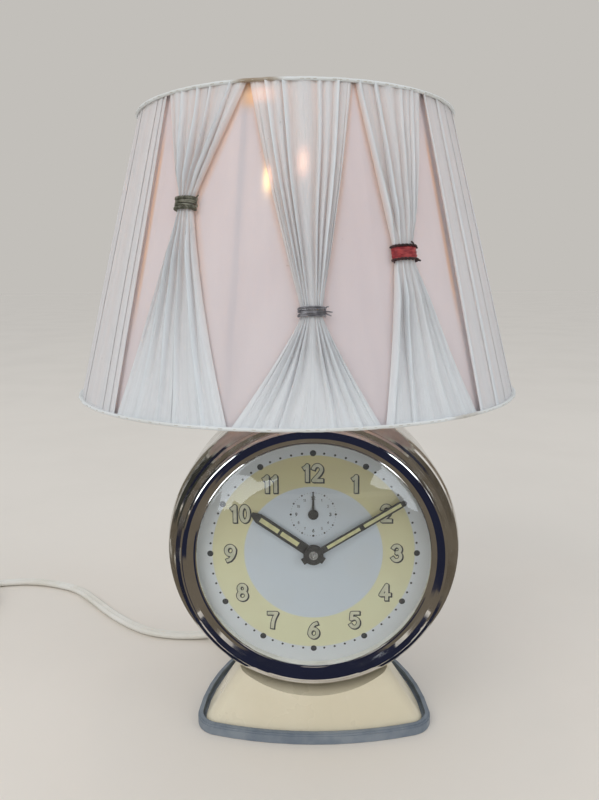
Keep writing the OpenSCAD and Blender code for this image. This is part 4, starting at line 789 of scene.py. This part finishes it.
def stamp(shape, text, at, scale, half, lift, shift=(0, 0)):
    """Number drawn with strokes 2 x half wide, joined into one flat outline."""
    left = -sum(DIGITS[c][0] for c in text) / 2
    disc = [Vector((half * cos(t), half * sin(t))) for t in (pi * j / 6 for j in range(12))]
    spots, outlines = [], []

    def outline(corners):
        outlines.append(list(range(len(spots), len(spots) + len(corners))))
        spots.extend(corners)

    for c in text:
        wide, strokes = DIGITS[c]
        for stroke in strokes:
            points = [Vector((x + left + wide / 2, y)) for x, y in stroke]
            closed = (points[0] - points[-1]).length < 0.01
            if not closed:
                points[0] += (points[0] - points[1]).normalized() * (half - END_SHORT)
                points[-1] += (points[-1] - points[-2]).normalized() * (half - END_SHORT)
            for k, (p, q) in enumerate(zip(points, points[1:])):
                along = (q - p).normalized()
                side = Vector((-along.y, along.x)) * half
                outline([p - side, q - side, q + side, p + side])
                if k or closed:
                    outline([p + v for v in disc])
        left += wide
    spots, _, faces, _, _, covers = delaunay_2d_cdt(spots, [], outlines, 1, 1e-4)
    base = len(shape.points)
    shape.points += [at + Vector((v.x * scale + shift[0], -lift, v.y * scale + shift[1])) for v in spots]
    shape.tints += [0.0] * len(spots)
    shape.faces += [tuple(base + i for i in face) for face, held in zip(faces, covers) if held]


ink = surface("dial_ink", (0.020, 0.022, 0.026), (0.05, 0.05, 0.05), (0.45, 0.6), 300, bump=0)
grey_ink = surface("dial_grey_ink", (0.16, 0.17, 0.19), (0.26, 0.27, 0.29), (0.5, 0.65), 300, bump=0)
number_fill = surface("number_fill", (0.56, 0.56, 0.42), (0.66, 0.64, 0.50), (0.5, 0.7), 260,
                      bump=0.00002, bump_scale=1800)
dots, ring_dots, shadows, outlines, fills, small = (Shape() for _ in range(6))
for minute in range(60):
    dot(dots, minute * 6, DOTS_R, MINUTE_DOTS[0] if minute % 5 == 0 else MINUTE_DOTS[1])
for tick in range(48):
    size = ALARM_DOTS[0 if tick % 12 == 0 else 1 if tick % 4 == 0 else 2]
    shape, sides = (small, 8) if tick % 4 else (ring_dots, 12)
    dot(shape, tick * 7.5, ALARM_DOTS_R, size, ALARM_UP, sides)
for hour in range(1, 13):
    at = on_dial(hour * 30, NUMBERS_R, 0)
    stamp(shadows, str(hour), at, 1.0, OUTLINE_HALF, SHADOW_LIFT, SHADOW_SHIFT)
    stamp(outlines, str(hour), at, 1.0, OUTLINE_HALF, PRINT_LIFT)
    stamp(fills, str(hour), at, 1.0, FILL_HALF, FILL_LIFT)
    at = on_dial(hour * 30, ALARM_NUMBERS_R, 0, ALARM_UP)
    shape, scale = (ring_dots, ALARM_NUMBERS[0]) if hour % 3 == 0 else (small, ALARM_NUMBERS[1])
    stamp(shape, str(hour), at, scale, SMALL_HALF, PRINT_LIFT)
for shape, name, material in ((dots, "dial_dots", ink), (ring_dots, "alarm_dial_marks", ink),
                              (shadows, "number_shadows", ink), (outlines, "number_outlines", ink),
                              (fills, "number_fills", number_fill),
                              (small, "alarm_dial_small_marks", grey_ink)):
    put(shape.make(name, smooth=False), "lamp", "dial_print", material)


def before_dial(a, r, t):
    """Point at angle a round the clock's middle, r from it and t before the case's middle plane."""
    return Vector((r * cos(a), -t, CLOCK_Z + r * sin(a)))


# Rivet and washer that hold the hands
RIVET = [(1.75, 30.9), (1.75, 31.15), (1.6, 31.3), (1.2, 31.35), (1.15, 31.6), (0.95, 31.9), (0.6, 32.05),
         (0.25, 32.1)]
RIVET_STEPS = 40
rivet = Shape()
base = rivet.spin(RIVET, before_dial, RIVET_STEPS)
rivet.cap(base + (len(RIVET) - 1) * RIVET_STEPS, RIVET_STEPS)
steel = surface("steel", (0.42, 0.42, 0.42), (0.30, 0.30, 0.30), (0.22, 0.42), 180, 1.0)
put(rivet.make("hand_rivet"), "hands", "steel", steel)


def glass(name, tint):
    """Clear glass with a faint film of dust in its roughness."""
    material, tree = blank(name)
    film = spread(tree, noise_of(tree, 35, 4), 0.5, 0.75, 0.0, 0.05)
    return finished(material, add(tree, "BsdfPrincipled", {
        "Base Color": (*tint, 1), "Roughness": film, "IOR": 1.45, "Transmission Weight": 1.0,
        "Normal": bump_of(tree, noise_of(tree, 25, 2), 0.000004)}))


def dial_print():
    """White dial with a pale yellow ring, by distance from the dial's middle; the ring turns darker and more
    orange towards the top, a painted reflection of the lit shade above.
    """
    material, tree = blank("dial_print")
    place = add(tree, "TexCoord").outputs["Object"]
    middle = add(tree, "VectorMath", {0: place, 1: (0, 0, DIAL.z * MM)}, operation="SUBTRACT").outputs[0]
    flat = add(tree, "VectorMath", {0: middle, 1: (1, 0, 1)}, operation="MULTIPLY").outputs[0]
    r = add(tree, "VectorMath", {0: flat}, operation="LENGTH").outputs["Value"]
    ring = maths(tree, "MULTIPLY", spread(tree, r, 0.03065, 0.03095), spread(tree, r, 0.0448, 0.0451, 1, 0))
    height = add(tree, "SeparateXYZ", {0: middle}).outputs["Z"]
    # Painted reflection of the lit shade: the ring turns darker and more orange towards the top
    ring_with_painted_glow = mix(tree, spread(tree, height, -0.02, 0.045), (0.74, 0.73, 0.50), (0.68, 0.62, 0.34))
    white = mix(tree, spread(tree, r, 0.030, 0.052), (0.62, 0.68, 0.75), (0.72, 0.74, 0.76))
    plain = mix(tree, spread(tree, noise_of(tree, 30, 4), 0.5, 0.75, 0.0, 0.25), white, (0.62, 0.60, 0.52))
    aged = mix(tree, spread(tree, noise_of(tree, 55, 4), 0.45, 0.7, 0.0, 0.4), ring_with_painted_glow, (0.66, 0.60, 0.40))
    return finished(material, add(tree, "BsdfPrincipled", {
        "Base Color": mix(tree, ring, plain, aged),
        "Roughness": spread(tree, noise_of(tree, 90, 3), *ROUGH_DRIFT, 0.38, 0.52),
        "Normal": bump_of(tree, noise_of(tree, 700, 2), 0.000008)}))


def filament():
    """Glowing wire whose heat varies along it."""
    material, tree = blank("filament")
    heat = spread(tree, noise_of(tree, 500, 2), 0.35, 0.65, 6.0, 9.0)
    return finished(material, add(tree, "BsdfPrincipled", {
        "Base Color": (0.9, 0.5, 0.2, 1), "Roughness": 0.5, "Emission Color": (1.0, 0.55, 0.20, 1),
        "Emission Strength": heat}))


finishes = {
    "steel": steel, "crystal": glass("crystal", (0.98, 1.0, 1.0)),
    "bulb_glass": glass("bulb_glass", (1.0, 0.97, 0.90)), "dial_print": dial_print(), "filament": filament(),
    "lining_cloth": lining_cloth, "cover_cloth": cover_cloth, "trim_cloth": trim_cloth,
    "tie_braid": tie_braid, "tie_wire": tie_wire, "tie_red": tie_red, "lead_plastic": lead_plastic,
    "foot_paint": surface("foot_paint", (0.76, 0.70, 0.54), (0.72, 0.655, 0.49), (0.22, 0.38), 16,
                          bump_scale=60, **{"Coat Weight": 0.25, "Coat Roughness": 0.15}),
}
# Two colours, roughness, scale of the drift, metal, height and scale of the bump, and its stretch
for name, *looks in (
        ("rubber", (0.165, 0.200, 0.245), (0.235, 0.270, 0.310), (0.48, 0.72), 75, 0.0, 0.00006, 700),
        ("dark_steel", (0.16, 0.16, 0.16), (0.10, 0.10, 0.10), (0.35, 0.5), 140, 1.0),
        ("case_chrome", (0.72, 0.70, 0.66), (0.58, 0.55, 0.50), (0.08, 0.20), 70, 1.0, 0.000006, 160),
        ("bezel_chrome", (0.78, 0.76, 0.73), (0.70, 0.68, 0.64), (0.03, 0.09), 60, 1.0, 0.000006, 160),
        ("cover_steel", (0.55, 0.54, 0.52), (0.44, 0.43, 0.40), (0.18, 0.34), 90, 1.0, 0.00001, 900,
         (1, 1, 0.3)),
        ("dial_ring", (0.74, 0.74, 0.70), (0.62, 0.61, 0.56), (0.5, 0.65), 80),
        ("hand_black", (0.012, 0.012, 0.013), (0.028, 0.028, 0.028), (0.3, 0.48), 240),
        ("lume", (0.70, 0.68, 0.38), (0.60, 0.57, 0.33), (0.6, 0.8), 320, 0.0, 0.00004, 1700),
        ("brass", (0.60, 0.42, 0.17), (0.42, 0.29, 0.12), (0.24, 0.42), 110, 1.0),
        ("knob_plastic", (0.050, 0.022, 0.012), (0.09, 0.045, 0.025), (0.22, 0.38), 160),
        ("ceramic", (0.78, 0.77, 0.72), (0.70, 0.68, 0.62), (0.4, 0.6), 120, 0.0, 0.00002),
        ("cap_aluminium", (0.62, 0.62, 0.62), (0.50, 0.50, 0.50), (0.25, 0.4), 150, 1.0, 0.00003),
        ("frame_wire", (0.66, 0.64, 0.60), (0.52, 0.49, 0.44), (0.45, 0.6), 150, 0.0, 0.00002)):
    finishes[name] = surface(name, *looks)
for row in frame["record"]["subparts"]:
    for place in nodes[row["node"]].material_slots:
        place.material = finishes[row["material_slot"]]

# Domed glass over the dial, finer than its solid: its curve, its rise, its seat and thickness, and its radii
DOME_R, DOME_RISE, GLASS_SEAT, GLASS_T, OPENING_R, GLASS_R = 288.35, 4.6, 33.2, 1.6, 51.3, 56.2
DOME_STEPS, ROUNDING, AXIS_GAP = 40, 0.2, 0.001


def dome(r):
    """How far the glass stands out from its seat, r from its middle."""
    return sqrt(DOME_R ** 2 - r ** 2) - DOME_R + DOME_RISE


radii = [OPENING_R * k / DOME_STEPS for k in range(DOME_STEPS + 1)]
back = GLASS_SEAT - GLASS_T
profile = [(r + AXIS_GAP, GLASS_SEAT + dome(r)) for r in radii]
profile += [(OPENING_R + 0.1, GLASS_SEAT), (GLASS_R - ROUNDING, GLASS_SEAT), (GLASS_R, GLASS_SEAT - ROUNDING),
            (GLASS_R, back + ROUNDING), (GLASS_R - ROUNDING, back), (OPENING_R + 0.1, back)]
profile += [(r + AXIS_GAP, back + dome(r)) for r in reversed(radii)]
crystal = Shape()
crystal.spin(profile[::-1], before_dial, 160)
crystal = put(crystal.make("dial_glass"), "lamp", "crystal", finishes["crystal"], "crystal")
crystal.visible_shadow = nodes["bulb_glass"].visible_shadow = False

# Floor, world and lamps: one pale paper tone from the floor to the horizon
PALE, PALE_SECOND = (0.80, 0.755, 0.69), (0.78, 0.736, 0.672)
HORIZON = (0.540, 0.521, 0.491)
SKY, SKY_LEVEL = (0.95, 0.97, 1.0), 0.72
FLOOR_HALF, FLOOR_DROP = 8, 0.0002
floor = bpy.data.objects.new("floor", bpy.data.meshes.new("floor"))
corners = [(x * FLOOR_HALF, y * FLOOR_HALF, -FLOOR_DROP) for x, y in ((-1, -1), (1, -1), (1, 1), (-1, 1))]
floor.data.from_pydata(corners, [], [(0, 1, 2, 3)])
scene.collection.objects.link(floor)
floor.data.materials.append(surface("floor_paper", PALE, PALE_SECOND, (0.8, 0.9), 6, 0.0, 0.00003,
                                    300, **{"Specular IOR Level": 0.2}))

world = bpy.data.worlds.new("world")
scene.world = world
world.use_nodes = True
tree = world.node_tree
tree.nodes.clear()
path = add(tree, "LightPath")
seen = maths(tree, "MAXIMUM", path.outputs["Is Camera Ray"], path.outputs["Is Transmission Ray"])
seen = maths(tree, "MAXIMUM", seen, path.outputs["Is Glossy Ray"])
sky = add(tree, "Background", {"Color": (*SKY, 1), "Strength": SKY_LEVEL})
paper = add(tree, "Background", {"Color": (*HORIZON, 1), "Strength": 1.0})
both = add(tree, "MixShader", {0: seen, 1: sky.outputs[0], 2: paper.outputs[0]})
tree.links.new(both.outputs[0], add(tree, "OutputWorld").inputs["Surface"])


def lamp(name, at, size, power, colour):
    """Rectangular lamp that points at the middle of the object."""
    light = bpy.data.lights.new(name, "AREA")
    light.shape, light.size, light.size_y = "RECTANGLE", size[0], size[1]
    light.energy, light.color = power, colour
    obj = bpy.data.objects.new(name, light)
    obj.location = at
    obj.rotation_mode = "QUATERNION"
    obj.rotation_quaternion = (Vector(LIT_AT) - Vector(at)).to_track_quat("-Z", "Y")
    scene.collection.objects.link(obj)


LIT_AT = (0, 0, 0.13)
GLOW_Z, GLOW_R = 248, 0.012
lamp("key_lamp", (-0.75, -0.95, 1.25), (1.1, 0.8), 7.0, (1.0, 0.98, 0.95))
lamp("fill_lamp", (1.05, -0.75, 0.75), (0.8, 0.8), 2.4, (0.94, 0.97, 1.0))
glow = bpy.data.lights.new("bulb_glow", "POINT")
glow.energy, glow.color, glow.shadow_soft_size = 0.06, (1.0, 0.62, 0.42), GLOW_R
glow = bpy.data.objects.new("bulb_glow", glow)
glow.location = Vector((AXIS_X, 0, GLOW_Z)) * MM
glow.visible_camera = glow.visible_glossy = glow.visible_transmission = False
scene.collection.objects.link(glow)


# Cards that only the polished metal and the glass see, as they do the room in the photograph
def card(name, corners, colour):
    mesh = bpy.data.meshes.new(name)
    mesh.from_pydata(corners, [], [tuple(range(len(corners)))])
    obj = bpy.data.objects.new(name, mesh)
    scene.collection.objects.link(obj)
    material, tree = blank(name)
    mesh.materials.append(finished(material, add(tree, "Emission", {"Color": (*colour, 1), "Strength": 1.0})))
    obj.visible_camera = obj.visible_diffuse = obj.visible_shadow = obj.visible_transmission = False


def flat_card(name, spots, z, colour):
    """Level card over spots of the floor."""
    card(name, [(x, y, z) for x, y in spots], colour)


def wall(name, left, right, low, high, colour):
    """Upright card between two spots of the floor."""
    card(name, [(*left, low), (*right, low), (*right, high), (*left, high)], colour)


def mirrored(x, z):
    """Place of a sky card's corner that the glass mirrors at (x, z) from the clock's middle."""
    r = hypot(x, z)
    at = Vector((x, -GLASS_SEAT - dome(r), CLOCK_Z + z))
    normal = Vector((x, -sqrt(DOME_R ** 2 - r ** 2), z)) / DOME_R
    sight = (at - CAMERA_AT / MM).normalized()
    return (at + SKY_AWAY * sight.reflect(normal)) * MM


TAUPE, NAVY, SKY_PATCH = (0.150, 0.128, 0.100), (0.018, 0.021, 0.044), (5.0, 5.4, 5.8)
NEAR_FLOOR, DARK_FLOOR, FOOT_LEVEL = 0.001, 0.002, 0.034
# Distance of the patches of sky from the glass
SKY_AWAY = 470
flat_card("floor_card", ((-0.9, -0.9), (0.9, -0.9), (0.9, -0.105), (-0.9, -0.105)), NEAR_FLOOR, TAUPE)
for name, side in (("floor_card_left", -1), ("floor_card_right", 1)):
    spots = [(side * x, y) for x, y in ((0.9, -0.105), (0.10, -0.105), (0.09, 0.12), (0.9, 0.5))]
    flat_card(name, spots, NEAR_FLOOR, TAUPE)
flat_card("floor_dark", ((0.10, -0.16), (0.07, -0.10), (-0.085, -0.10), (-0.21, -0.20), (-0.21, -0.34),
                         (-0.06, -0.27), (-0.02, -0.19), (0.0, -0.15)), DARK_FLOOR, NAVY)
flat_card("foot_dark", ((-0.07, -0.102), (0.07, -0.102), (0.052, -0.037), (-0.052, -0.037)), FOOT_LEVEL,
          NAVY)
wall("front_card", (-0.9, -0.55), (0.9, -0.75), 0.05, 1.3, NAVY)
# Outlines of the patches on the glass, in millimetres from the clock's middle
card("sky_left", [mirrored(x, z) for x, z in (
    (-41, 22), (-39, 33), (-33, 38), (-27, 37.5), (-24, 35), (-15, 36.5), (-19, 33), (-24, 31), (-28, 28),
    (-31, 25), (-34, 27), (-36, 23))], SKY_PATCH)
card("sky_right", [mirrored(x, z) for x, z in (
    (26, 38), (31, 42), (35, 40), (39, 34), (43, 27), (45, 21), (41, 23), (38, 28), (34, 31), (28, 32),
    (24, 34))], SKY_PATCH)
wall("left_card", (-0.9, -0.55), (-0.6, 0.25), 0.0, 0.9, (0.050, 0.052, 0.045))
wall("right_card", (0.9, -0.75), (0.6, 0.15), 0.0, 0.9, (0.110, 0.095, 0.075))
wall("left_strip", (-0.6, 0.25), (-0.57, 0.33), 0.14, 0.6, (1.0, 1.0, 1.0))
wall("left_back_card", (-0.57, 0.33), (-0.4, 0.6), 0.0, 0.5, (0.18, 0.165, 0.13))
wall("right_strip", (0.6, 0.15), (0.55, 0.36), 0.12, 0.6, (1.0, 1.0, 1.0))
wall("right_back_card", (0.55, 0.36), (0.4, 0.6), 0.0, 0.5, (0.22, 0.18, 0.14))
